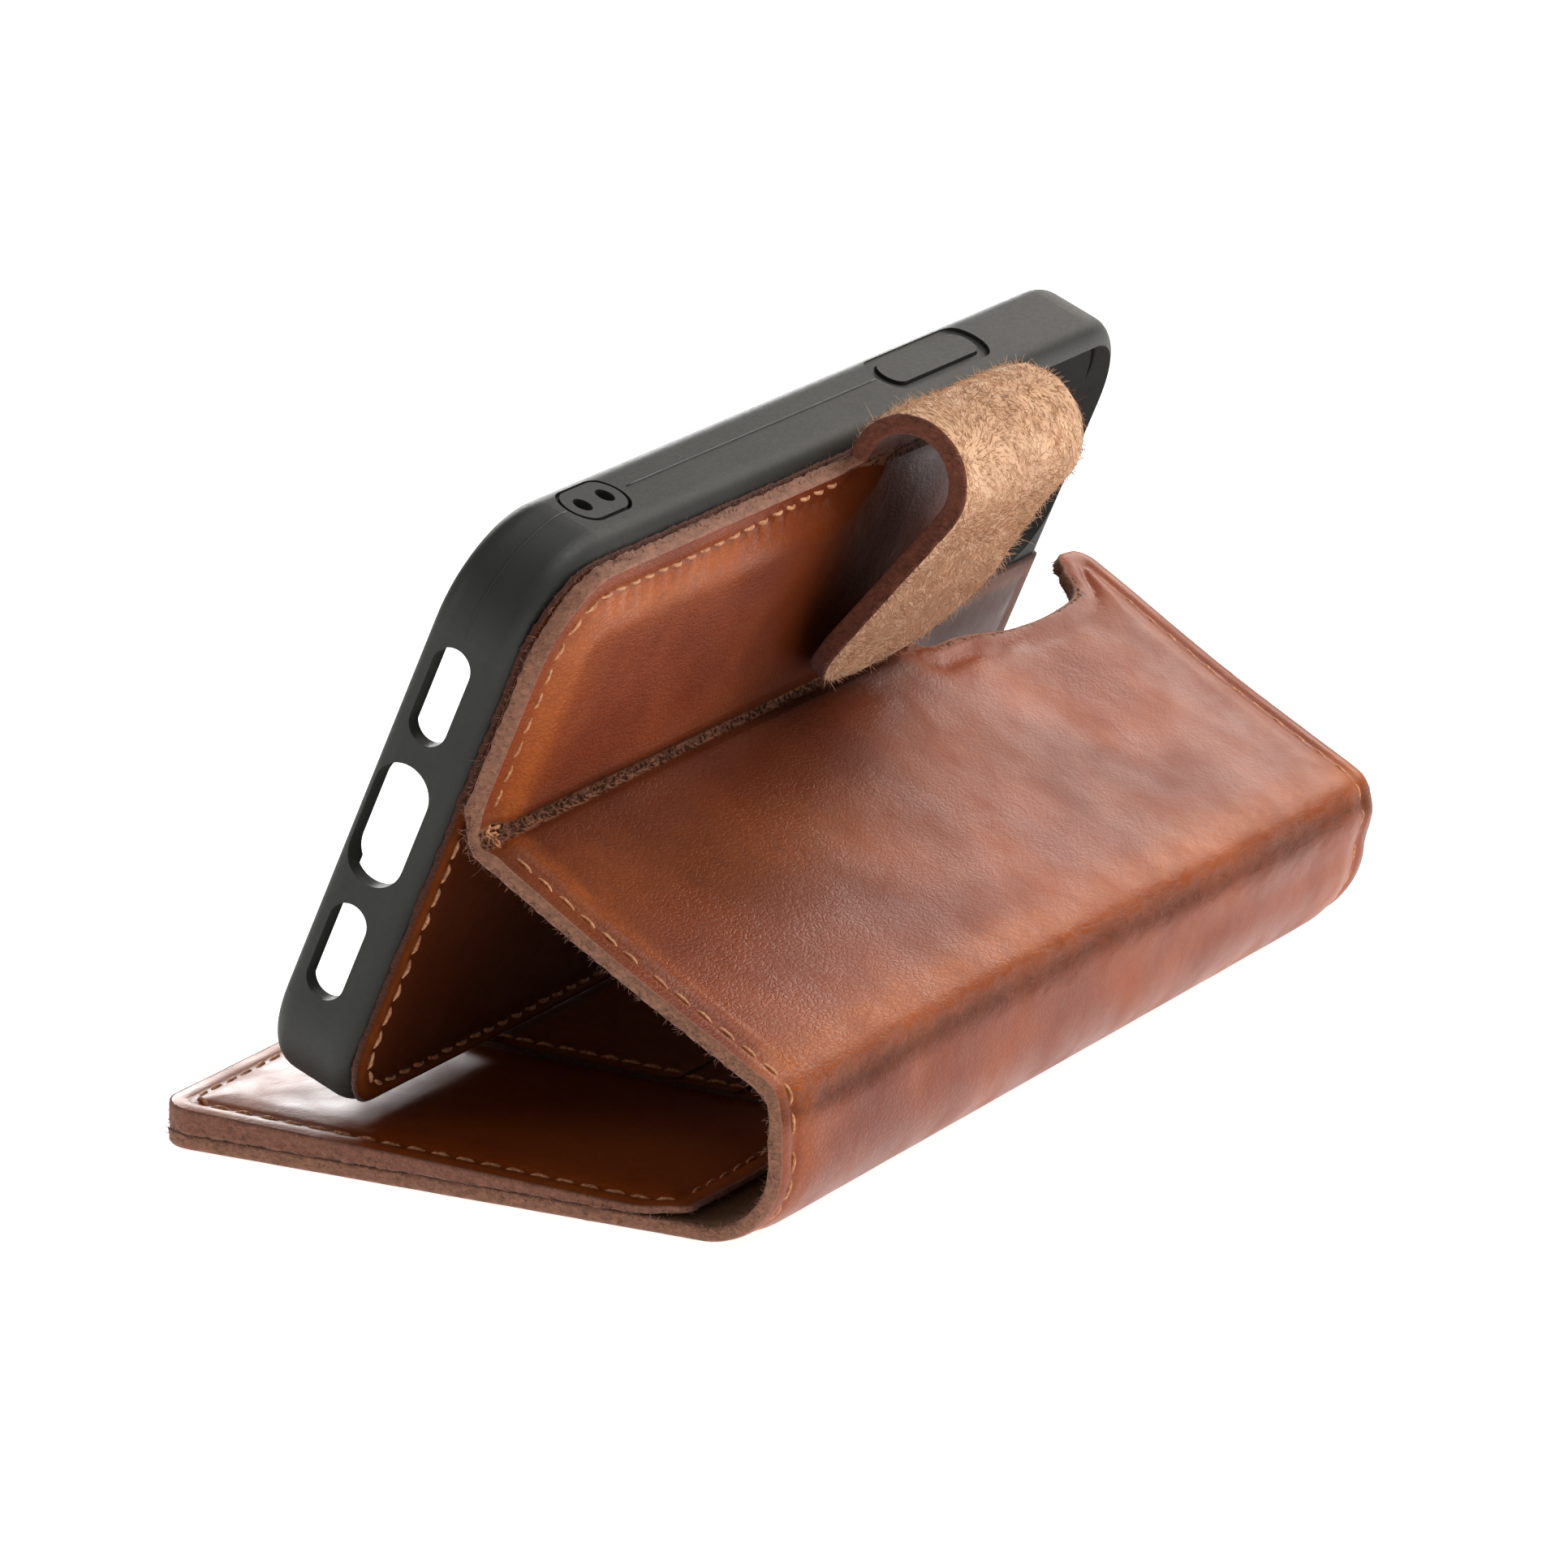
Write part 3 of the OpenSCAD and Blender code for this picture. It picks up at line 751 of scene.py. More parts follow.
def rawness(x, s):
    """Where the grain is cut through: the crease, the strap's root and the notch's lip."""
    root = bell(s, S["root"] + 0.8, 1.0) * (x > STRAP_X[0] - 2) * (x < STRAP_X[1] + 2)
    fold = on_body(x) * bell(s, S_CREASE, 1.3 + 0.6 * smooth(x, 10, 70))
    lip = (1 - on_body(x)) * smooth(x, NOTCH_X[0] - 6, NOTCH_X[0]) * smooth(
        s, S_NOTCH - 2, S_NOTCH) * bell(edge_distance(x, s), 0, 0.7)
    return np.clip(1.25 * np.maximum(np.maximum(fold, root), lip), 0, 1)


def crinkle(x, s):
    """Where the leather is crushed into small folds: the spine's upper bend and the knot."""
    return np.clip(0.8 * bell(s, S["top"] + 0.6, 2.2) + near_knot(x, s), 0, 1)


def pebble(x, s):
    """How deep the grain is; it is worn flatter towards the camera opening's end."""
    return 0.30 + 0.70 * smooth(x, -25, 62)


HIDE_TONES = {"burnish_and_shade": burnish_and_shade, "patina_and_shade": patina_and_shade, "raw": rawness,
              "crinkle": crinkle, "pebble": pebble}


def plain_tones(rub, dark):
    """Shader attributes of a lining, which is neither cut nor crushed."""
    nothing = lambda x, y: np.zeros(np.shape(x))
    return {"burnish_and_shade": rub, "patina_and_shade": dark, "raw": nothing, "crinkle": nothing,
            "pebble": lambda x, y: np.full(np.shape(x), 0.3)}


# ---- materials ----

class Nodes:
    """A node tree that is built left to right."""

    def __init__(self, name):
        self.mat = bpy.data.materials.new(name)
        self.mat.use_nodes = True
        self.tree = self.mat.node_tree
        self.shader = self.tree.nodes["Principled BSDF"]
        self.coords = self.add("ShaderNodeTexCoord").outputs["Object"]

    def add(self, kind, **values):
        node = self.tree.nodes.new(kind)
        for k, v in values.items():
            if k in node.inputs.keys():
                self.put(node.inputs[k], v)
            else:
                setattr(node, k, v)
        return node

    def put(self, socket, value):
        if isinstance(value, bpy.types.NodeSocket):
            self.tree.links.new(value, socket)
        else:
            socket.default_value = value

    def noise(self, scale, detail=4.0, rough=0.55, distortion=0.0, stretch=(1, 1, 1)):
        where = self.add("ShaderNodeMapping", Vector=self.coords, Scale=stretch)
        node = self.add("ShaderNodeTexNoise", Vector=where.outputs[0], Scale=scale,
                        Detail=detail, Roughness=rough, Distortion=distortion)
        return node.outputs["Fac"]

    def cells(self, scale, feature="F1", stretch=(1, 1, 1), warp=0.0):
        where = self.add("ShaderNodeMapping", Vector=self.coords, Scale=stretch)
        at = where.outputs[0]
        if warp:
            wobble = self.add("ShaderNodeTexNoise", Vector=at, Scale=scale * 0.6, Detail=2.0)
            moved = self.add("ShaderNodeVectorMath", operation="MULTIPLY_ADD")
            self.put(moved.inputs[0], wobble.outputs["Color"])
            moved.inputs[1].default_value = (warp,) * 3
            self.put(moved.inputs[2], at)
            at = moved.outputs[0]
        node = self.add("ShaderNodeTexVoronoi", feature=feature, Vector=at, Scale=scale)
        return node.outputs["Distance"]

    def curve(self, value, lo, hi, out_lo=0.0, out_hi=1.0):
        limits = {"From Min": lo, "From Max": hi, "To Min": out_lo, "To Max": out_hi}
        node = self.add("ShaderNodeMapRange", interpolation_type="SMOOTHSTEP", Value=value,
                        **limits)
        return node.outputs["Result"]

    def mix(self, fac, a, b):
        node = self.add("ShaderNodeMix", data_type="RGBA")
        self.put(node.inputs[0], fac)
        self.put(node.inputs[6], a if not isinstance(a, tuple) else (*a, 1))
        self.put(node.inputs[7], b if not isinstance(b, tuple) else (*b, 1))
        return node.outputs[2]

    def math(self, kind, a, b=0.0):
        node = self.add("ShaderNodeMath", operation=kind)
        self.put(node.inputs[0], a)
        self.put(node.inputs[1], b)
        return node.outputs[0]

    def mark(self, key):
        return self.add("ShaderNodeAttribute", attribute_name=key).outputs["Fac"]

    def bump(self, *layers):
        """Each layer is (height, distance in millimetres, strength)."""
        normal = None
        for height, distance, strength in layers:
            node = self.add("ShaderNodeBump", Height=height, Distance=distance * MM,
                            Strength=strength)
            if normal is not None:
                self.put(node.inputs["Normal"], normal)
            normal = node.outputs[0]
        self.put(self.shader.inputs["Normal"], normal)

    def set(self, **values):
        names = {"color": "Base Color", "rough": "Roughness", "coat": "Coat Weight",
                 "coat_rough": "Coat Roughness", "sheen": "Sheen Weight",
                 "sheen_rough": "Sheen Roughness", "specular": "Specular IOR Level"}
        for k, v in values.items():
            self.put(self.shader.inputs[names[k]], (*v, 1) if isinstance(v, tuple) else v)
        return self.mat


COGNAC = (0.230, 0.043, 0.011)
COGNAC_LIGHT = (0.335, 0.075, 0.019)
ORANGE = (0.47, 0.125, 0.022)
UMBER = (0.070, 0.017, 0.006)
RAW_EDGE = (0.42, 0.20, 0.125)
FLESH = (0.95, 0.58, 0.33)


def grain_leather(name, base=COGNAC, light=COGNAC_LIGHT, gloss=0.36, shine=0.05):
    n = Nodes(name)
    cloud = n.curve(n.noise(55, 5), 0.35, 0.7)
    fine = n.noise(420, 6, 0.6)
    tone = n.mix(cloud, base, light)
    # darker towards umber by the darkening mark, which holds real patina and painted shade
    tone = n.mix(n.math("MULTIPLY", n.mark("patina_and_shade"), 0.75), tone, UMBER)
    # orange by the burnish mark, which is held back where the strap's shadow is painted
    rub = n.math("MULTIPLY", n.mark("burnish_and_shade"), n.curve(fine, 0.25, 0.7, 0.55, 1.0))
    tone = n.mix(rub, tone, ORANGE)
    pebble, crinkle = n.mark("pebble"), n.mark("crinkle")
    plates = n.curve(n.cells(1500, "DISTANCE_TO_EDGE", (0.6, 1, 1), 0.0012), 0.0, 0.22)
    folds = n.curve(n.noise(520, 6, 0.68, 1.4, (0.38, 1, 1)), 0.36, 0.56)
    cracks = n.math("MULTIPLY", n.math("SUBTRACT", 1.0, plates), pebble)
    deep = n.math("MULTIPLY", n.math("SUBTRACT", 1.0, folds), crinkle)
    tone = n.mix(n.math("MULTIPLY", cracks, 0.16), tone, UMBER)
    tone = n.mix(n.math("MULTIPLY", deep, 0.30), tone, UMBER)
    fibre = n.cells(1300, "F1", (1, 1, 1), 0.001)
    speck = n.mix(n.curve(fibre, 0.25, 0.6), (0.060, 0.020, 0.010), (0.30, 0.135, 0.080))
    raw = n.math("MULTIPLY", n.mark("raw"), n.curve(n.noise(900, 3), 0.2, 0.5))
    tone = n.mix(n.curve(n.math("ADD", n.mark("raw"), n.math("MULTIPLY", raw, 0.3)),
                         0.45, 0.8), tone, speck)
    rough = n.curve(n.noise(130, 5), 0.3, 0.75, gloss - 0.05, gloss + 0.12)
    rough = n.math("MAXIMUM", rough, n.curve(n.mark("raw"), 0.35, 0.8, 0.0, 0.9))
    soft = n.curve(n.noise(240, 4, 0.5, 0.4), 0.3, 0.75)
    n.bump((soft, 0.14, 0.20), (n.math("SUBTRACT", 1.0, cracks), 0.06, 0.50),
           (n.math("SUBTRACT", 1.0, deep), 0.16, 0.7), (n.noise(2600, 3), 0.04, 0.30))
    # less specular where that darkening mark is high, painted shade included
    return n.set(color=tone, rough=rough, coat=shine, coat_rough=0.25,
                 specular=n.curve(n.mark("patina_and_shade"), 0.0, 1.0, 0.30, 0.10))


def cut_edge(name, tone=RAW_EDGE):
    n = Nodes(name)
    strands = n.noise(650, 6, 0.7, 0.6, (1, 1.6, 2.6))
    tone = n.mix(n.curve(strands, 0.3, 0.7), tuple(c * 0.55 for c in tone), tone)
    tone = n.mix(n.curve(n.noise(1900, 2), 0.62, 0.72, 0, 0.6), tone, (0.10, 0.055, 0.04))
    n.bump((strands, 0.30, 0.8), (n.noise(3000, 3), 0.12, 0.7))
    return n.set(color=tone, rough=n.curve(strands, 0.2, 0.8, 0.72, 0.95), sheen=0.25,
                 sheen_rough=0.5, specular=0.25)


def flesh_side(name, tone=FLESH, sheen=0.5):
    n = Nodes(name)
    mottle = n.curve(n.noise(120, 6, 0.65, 0.8), 0.3, 0.72)
    strands = n.noise(900, 6, 0.72, 1.5, (1, 1.5, 0.6))
    valley = tuple(c * 0.62 for c in tone)
    tone = n.mix(mottle, tuple(c * f for c, f in zip(tone, (0.84, 0.80, 0.76))), tone)
    tone = n.mix(n.curve(strands, 0.28, 0.52, 0.45, 1.0), valley, tone)
    n.bump((strands, 0.35, 0.7), (n.noise(2600, 4, 0.7), 0.14, 0.7))
    return n.set(color=tone, rough=n.curve(strands, 0.2, 0.8, 0.8, 1.0), sheen=sheen,
                 sheen_rough=0.6, specular=0.2)


def tray_rubber(name, tone=(0.028, 0.028, 0.024)):
    n = Nodes(name)
    cloud = n.noise(40, 4)
    tone = n.mix(n.curve(cloud, 0.3, 0.7), tone, tuple(c * 1.35 for c in tone))
    n.bump((n.noise(3800, 2, 0.5), 0.03, 0.35))
    return n.set(color=tone, rough=n.curve(n.noise(1900, 3), 0.3, 0.7, 0.50, 0.58),
                 specular=0.42, sheen=0.06, sheen_rough=0.4)


def thread_material(name):
    n = Nodes(name)
    twist = n.noise(2400, 3, 0.5, 0.5, (1, 1, 1))
    tone = n.mix(n.curve(twist, 0.35, 0.65), (0.42, 0.165, 0.065), (0.72, 0.37, 0.18))
    n.bump((twist, 0.1, 0.6))
    return n.set(color=tone, rough=n.curve(twist, 0.2, 0.8, 0.5, 0.7), sheen=0.3,
                 sheen_rough=0.4)


HIDE = grain_leather("hide_grain")
LINING = grain_leather("lining_grain", (0.26, 0.050, 0.006), (0.35, 0.080, 0.010), 0.40)
EDGE = cut_edge("hide_cut_edge")
STRAP_EDGE = cut_edge("strap_cut_edge", (0.30, 0.105, 0.060))
LINING_EDGE = cut_edge("lining_cut_edge", (0.36, 0.155, 0.100))
DARK_EDGE = cut_edge("painted_edge", (0.12, 0.036, 0.016))
FLESH_MAT = flesh_side("hide_flesh")
# a darker, duller copy of the flesh side for the inner faces of the hide, linings and pockets:
# painted shade
FLESH_SHADED = flesh_side("hide_flesh_inside", (0.30, 0.145, 0.065), 0.15)
FUZZ = flesh_side("crease_fuzz", (0.17, 0.065, 0.034), 0.1)
TRAY_GRAIN = grain_leather("tray_lining_grain", (0.15, 0.036, 0.012), (0.20, 0.050, 0.016))
RUBBER = tray_rubber("tray_rubber")
INSERT = tray_rubber("insert_plastic", (0.034, 0.034, 0.032))
THREAD = thread_material("seam_thread")
HIDE_MATS = [HIDE, EDGE, FLESH_SHADED, FUZZ]
STRAP_MATS = [HIDE, STRAP_EDGE, FLESH_MAT, FUZZ]


# ---- the hide's pieces ----

X_ROWS = rows(FAR_X, NEAR_X, 1.4, [(FAR_X, 8, 0.6), (NEAR_X, 8, 0.55)])


def hide_rows(lo, hi, step=1.2):
    fine = [(S["top"] + 2, 8, 0.6), (S_CREASE, 3.5, 0.35), (S["base"] + 7, 9, 0.9),
            (S_TOP, 7, 0.5), (S["root"] + 12, 14, 0.7)]
    return rows(lo, hi, step, fine)


def hide_piece(name, corners, mats, s_lo, s_hi, joins, x_rows=None, **hair):
    piece = sheet(name, corners, on_hide, HALF, mats,
                  X_ROWS if x_rows is None else x_rows, hide_rows(s_lo, s_hi),
                  grain_relief, flesh_relief, joins, tones=HIDE_TONES,
                  **{"edge_hair": 5, **hair})
    return piece


def at_path(s):
    y, z = PATH.point(s)[0]
    return (0, y * MM, z * MM)


def bend(piece, a, b, s_from, s_to):
    at_path(s_from)
    at_path(s_to)
    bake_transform(piece)


S_COVER = S["base"] - 15
S_SPINE = (S["spine"] + S["top"]) / 2
S_PANEL = S["panel"] + 20
S_CREASE_HI = S["upper"] + 2.4
S_STRAP = S_TOP + 1.7
CURL = STRAP_R * math.pi / 4
S_CURL = (S["curl"] + CURL, S["curl"] + 3 * CURL, S["tongue"] + 4)

# Each stretch of the hide that crosses a joint: its bodies and where the turn begins and ends.
BASE_TURN = ("front_cover", "spine", S["base"] + 1.5, S["spine"] + 1)
TOP_TURN = ("spine", "lower_panel", S["top"] - 1.5, S["panel"] + 1.5)
CREASE_TURN = ("lower_panel", "phone_shell", S_CREASE_LO + 0.3, S_CREASE_HI - 0.3)


def box_corners(s_lo, s_hi, x_lo=FAR_X, x_hi=NEAR_X):
    return [(x_lo, s_lo), (x_hi, s_lo), (x_hi, s_hi), (x_lo, s_hi)]


def build_hide():
    cover = hide_piece("cover_hide", free_corners() + [(NEAR_X, S_COVER), (FAR_X, S_COVER)],
                       HIDE_MATS, 0, S_COVER, [S_COVER], edge_hair=2)
    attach(cover, "front_cover")
    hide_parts("front_cover_leather")
    base = hide_piece("base_bend_hide", box_corners(S_COVER, S_SPINE), HIDE_MATS,
                      S_COVER, S_SPINE, [S_COVER, S_SPINE], flesh_hair=0.5)
    bend(base, *BASE_TURN)
    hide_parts("front_cover_leather", "spine_leather")
    top = hide_piece("top_bend_hide", box_corners(S_SPINE, S_PANEL), HIDE_MATS,
                     S_SPINE, S_PANEL, [S_SPINE, S_PANEL])
    bend(top, *TOP_TURN)
    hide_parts("spine_leather", "lower_panel_leather")
    panel = hide_piece("lower_panel_hide", [(FAR_X, S_PANEL), (NEAR_X, S_PANEL),
                                            (NEAR_X, S_CREASE_LO)] + notch_line(),
                       HIDE_MATS, S_PANEL, S_HORN, [S_PANEL, S_CREASE_LO])
    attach(panel, "lower_panel")
    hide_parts("lower_panel_leather")
    crease = hide_piece("crease_hide", box_corners(S_CREASE_LO, S_CREASE_HI, NOTCH_X[1]),
                        HIDE_MATS, S_CREASE_LO, S_CREASE_HI, [S_CREASE_LO, S_CREASE_HI],
                        edge_hair=9, edge_length=1.1,
                        grain_hair=(S_CREASE, 1.5, 7.0, NOTCH_X[1], NEAR_X))
    bend(crease, *CREASE_TURN)
    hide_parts("lower_panel_leather", "upper_panel_leather")
    x1 = STRAP_X[1]
    upper = hide_piece("upper_panel_hide", [(NOTCH_X[1], S_CREASE_HI),
                                            (NEAR_X, S_CREASE_HI)] + upper_line()
                       + NEAR_FOOT + [(x1, S_STRAP), (STRAP_FAR, S_STRAP)] + FAR_FOOT,
                       HIDE_MATS, S_CREASE_HI, S_STRAP, [S_CREASE_HI, S_STRAP],
                       x_rows=rows(NOTCH_X[1], NEAR_X, 0.9), ragged=1.3, under=1.1)
    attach(upper, "phone_shell")
    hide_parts("upper_panel_leather", "upper_panel_board")
    strap_rows = rows(STRAP_X[0], x1, 0.9)
    spans = [("strap_root_hide", "strap_root", S_STRAP, S_CURL[0], "phone_shell",
              "strap_base", 0.4),
             ("strap_curl_hide", "strap_crown", S_CURL[0], S_CURL[1], "strap_base",
              "strap_bend", 0.4),
             ("strap_fall_hide", "strap_crown", S_CURL[1], S_CURL[2], "strap_bend",
              "strap_tab", 3.0)]
    fur = {"edge_hair": 7, "edge_length": 1.0, "flesh_hair": 5.0, "flesh_length": 1.3}
    for name, node, lo, hi, a, b, end in spans:
        root = {"grain_hair": (S["root"] + 0.8, 1.2, 8.0, STRAP_FAR, x1)} if lo == S_STRAP else {}
        piece = hide_piece(name, box_corners(lo, hi, STRAP_FAR, x1), STRAP_MATS, lo, hi,
                           [lo, hi], strap_rows, **fur, **root)
        bend(piece, a, b, lo + 0.4, hi - end)
        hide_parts(node)
    tab = hide_piece("strap_tab_hide", [(STRAP_FAR, S_CURL[2]), (x1, S_CURL[2])]
                     + tongue_line(), STRAP_MATS,
                     S_CURL[2], S["end"], [S_CURL[2]], strap_rows, **fur)
    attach(tab, "strap_tab")
    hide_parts("strap_tongue")


def hide_surface(x, s):
    """Where the thread lies; the far seam is pulled deeper into the leather."""
    x, s = np.asarray(x), np.asarray(s)
    return HALF + grain_relief(x, s) - 0.16 * (x < 0)


def knot_ends(count=9):
    """Short crossing stitches where the near seam is locked beside the crease."""
    rng = np.random.default_rng(5)
    ends = []
    for _ in range(count):
        mid = np.array([NEAR_X - SEAM, S_CREASE]) + rng.normal(0, 0.75, 2)
        turn, reach = rng.uniform(0, math.pi), rng.uniform(0.6, 1.2)
        step = reach * np.array([math.cos(turn), math.sin(turn)])
        ends.append((mid - step, mid + step))
    return ends


def build_hide_seams():
    """The outer seam, 3 mm inside the edge, cut up where the joints are."""
    near, far = NEAR_X - SEAM, FAR_X + SEAM
    line = lambda x, lo, hi: [(x, lo), (x, hi)]
    r = PANEL_CORNER_R
    corner = arc(NEAR_X - r, S_TOP - r, r - SEAM, 0, 90)
    upper = [(near, S_CREASE_HI)] + corner + [
        (x, S_TOP - SEAM + seam_rise(x)) for x in np.arange(54.0, STRAP_X[1] + 0.8, -3)]
    inner = line(NOTCH_X[1] + SEAM, S_CREASE_HI, S_TOP - SEAM)
    groups = [
        ("spine_base_stitches", "spine_stitching", [line(near, S["base"] - 3, S_SPINE),
                                                    line(far, S["base"] - 3, S_SPINE)], BASE_TURN),
        ("spine_top_stitches", "spine_stitching", [line(near, S_SPINE, S_PANEL),
                                                   line(far, S_SPINE, S_PANEL)], TOP_TURN),
        ("lower_panel_stitches", "lower_panel_stitching",
         [line(near, S_PANEL, S_CREASE_LO), line(far, S_PANEL, S_HORN - 2 * SEAM)],
         "lower_panel"),
        ("crease_stitches", "lower_panel_stitching", [line(near, S_CREASE_LO, S_CREASE_HI)],
         CREASE_TURN),
        ("upper_panel_stitches", "upper_panel_stitching", [upper, inner], "phone_shell"),
    ]
    for name, node, lines, carrier in groups:
        ends = [pair for run in lines for pair in along(run)]
        if name == "crease_stitches":
            ends += knot_ends()
        piece = stitches(name, ends, on_hide, hide_surface)
        if isinstance(carrier, str):
            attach(piece, carrier)
        else:
            bend(piece, *carrier)
        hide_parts(node)


# ---- the front cover's lining and card pockets ----

def lining_top(y):
    """Height of the lining's grain side over the table."""
    free = COVER_LO[1]
    share = np.clip((LINING_END - y) / (LINING_END - free), 0, 1)
    return HIDE_T + PAD_THIN + LINING_T + (PAD_THICK - PAD_THIN) * share


LINING_MID = 4.0


def on_cover(x, y, d):
    """Points over the cover; d counts from the lining's middle height."""
    lift = 1.3 * smooth(y, LINING_END - 8, LINING_END) * (0.6 + 0.4 * waves(x, y, 50, 31))
    return np.column_stack([x, y, LINING_MID + np.asarray(d) + lift])


def build_cover_lining():
    half = 1.2
    free = COVER_LO[1]
    outline = [(NEAR_X, LINING_END - 1), (NEAR_X - 1, LINING_END), (FAR_X + 1, LINING_END),
               (FAR_X, LINING_END - 1)] + free_corners(free)
    gauge = edge_gauge(outline)

    def height(x, y):
        e = gauge(x, y)
        groove = 0.30 * bell(e, SEAM, 0.6) + 0.25 * bell(e, 0, 0.9)
        pinch = 0.45 * (1 - smooth(e, SEAM - 0.5, SEAM + 4))
        crown = 0.05 * waves(x, y, 34, 51) + 0.012 * waves(x, y, 9, 52)
        return lining_top(y) - LINING_MID - half - groove - pinch + crown

    def depth(x, y):
        # the bottom follows the hide, and stands off where the edge lifts
        return np.full(np.shape(x), LINING_MID - half - HIDE_T - 0.05)

    def rub(x, y):
        cloud = 0.35 * smooth(waves(x, y, 50, 53), 0, 0.7)
        return np.clip(0.5 * bell(gauge(x, y), 1.2, 1.2) + cloud, 0, 1)

    def dark(x, y):
        return np.clip(0.3 * smooth(waves(x, y, 60, 54), -0.2, 0.8), 0, 1)

    lining = sheet("cover_lining_sheet", outline, on_cover, half,
                   [LINING, LINING_EDGE, FLESH_SHADED, FUZZ],
                   X_ROWS, rows(free, LINING_END, 1.3, [(free, 7, 0.6), (LINING_END, 8, 0.7)]),
                   height, depth, tones=plain_tones(rub, dark), edge_hair=1.5, edge_length=0.6)
    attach(lining, "front_cover")
    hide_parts("front_cover_lining", "front_cover_padding")

    top = lambda x, y: half + height(np.asarray(x), np.asarray(y))
    near, far, lo, hi = NEAR_X - SEAM, FAR_X + SEAM, free + SEAM, LINING_END - SEAM
    r = COVER_CORNER_R - SEAM + 0.6
    loop = ([(near, hi)] + arc(near - r, lo + r, r, 0, -90)
            + arc(far + r, lo + r, r, -90, -180) + [(far, hi)])
    ends = along(loop) + along([(far, hi), (near, hi)])
    seam = stitches("cover_lining_stitches", ends, on_cover, top)
    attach(seam, "front_cover")
    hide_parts("front_cover_stitching")

    under = lambda x, y, d: np.column_stack([x, y, HALF + np.asarray(d)])
    below = stitches("cover_underside_stitches", along(loop, PITCH, PITCH / 2), under,
                     lambda x, y: np.full(np.shape(x), HALF - 0.62), side=-1, radius=0.26)
    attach(below, "front_cover")
    return top


def build_card_pockets(surface):
    """Three thin leather pockets that overlap, their mouths towards the spine."""
    low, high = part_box("card_pocket_upper")
    x0, x1 = low[0] / MM, high[0] / MM
    y0 = low[1] / MM
    seam = 2.2
    for k, node in enumerate(("card_pocket_lower", "card_pocket_middle", "card_pocket_upper")):
        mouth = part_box(node)[1][1] / MM
        half = 0.2
        lift = 0.08 + 0.27 * k
        y_low = y0 + 0.2 * k

        def place(x, y, d, lift=lift):
            base = surface(x, y) - 0.05
            return on_cover(x, y, base + lift + half + np.asarray(d))

        def swell(x, y, mouth=mouth):
            return (0.10 * bell(y, mouth - 1.0, 1.4) + 0.04 * waves(x, y, 20, 61)
                    - 0.10 * bell(y, mouth - 2.6, 0.5))

        outline = (arc(x0 + 2, y_low + 2, 2, 180, 270) + arc(x1 - 2, y_low + 2, 2, -90, 0)
                   + arc(x1 - 1, mouth - 1, 1, 0, 90) + arc(x0 + 1, mouth - 1, 1, 90, 180))
        pocket = sheet(node + "_leather", outline, place, half,
                       [LINING, DARK_EDGE, FLESH_SHADED, FUZZ], rows(x0, x1, 1.6),
                       rows(y_low, mouth, 1.6, [(mouth, 4, 0.5)]), swell,
                       rim=0.15,
                       tones=plain_tones(lambda x, y, m=mouth: 0.5 * bell(y, m - 0.8, 1.2),
                                         lambda x, y: 0.3 * smooth(waves(x, y, 40, 62), 0, 1)))
        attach(pocket, "front_cover")
        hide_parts(node)
    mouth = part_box("card_pocket_upper")[1][1] / MM
    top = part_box("card_pocket_lower")[1][1] / MM
    ends = []
    for x in (x0 + seam, x1 - seam):
        ends += along([(x, y0 + seam), (x, top - 2)], 2.9)
    ends += along([(x0 + seam, y0 + seam), (x1 - seam, y0 + seam)], 2.9)
    level = lambda y: 0.5 + 0.27 * ((y < mouth).astype(float) + (y < mouth + 8))
    piece = stitches("card_pocket_stitches", ends, on_cover,
                     lambda x, y: surface(x, y) + level(y), radius=0.22)
    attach(piece, "front_cover")
    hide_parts("card_pocket_stitching")


# ---- the tray's leather lining and its moulding line ----

def on_tray(x, v, w):
    """A point on the tray's back: x along it, v up it, w behind it."""
    yz = TRAY_O + np.asarray(v)[:, None] * V_DIR + np.asarray(w)[:, None] * W_DIR
    return np.column_stack([x, yz])


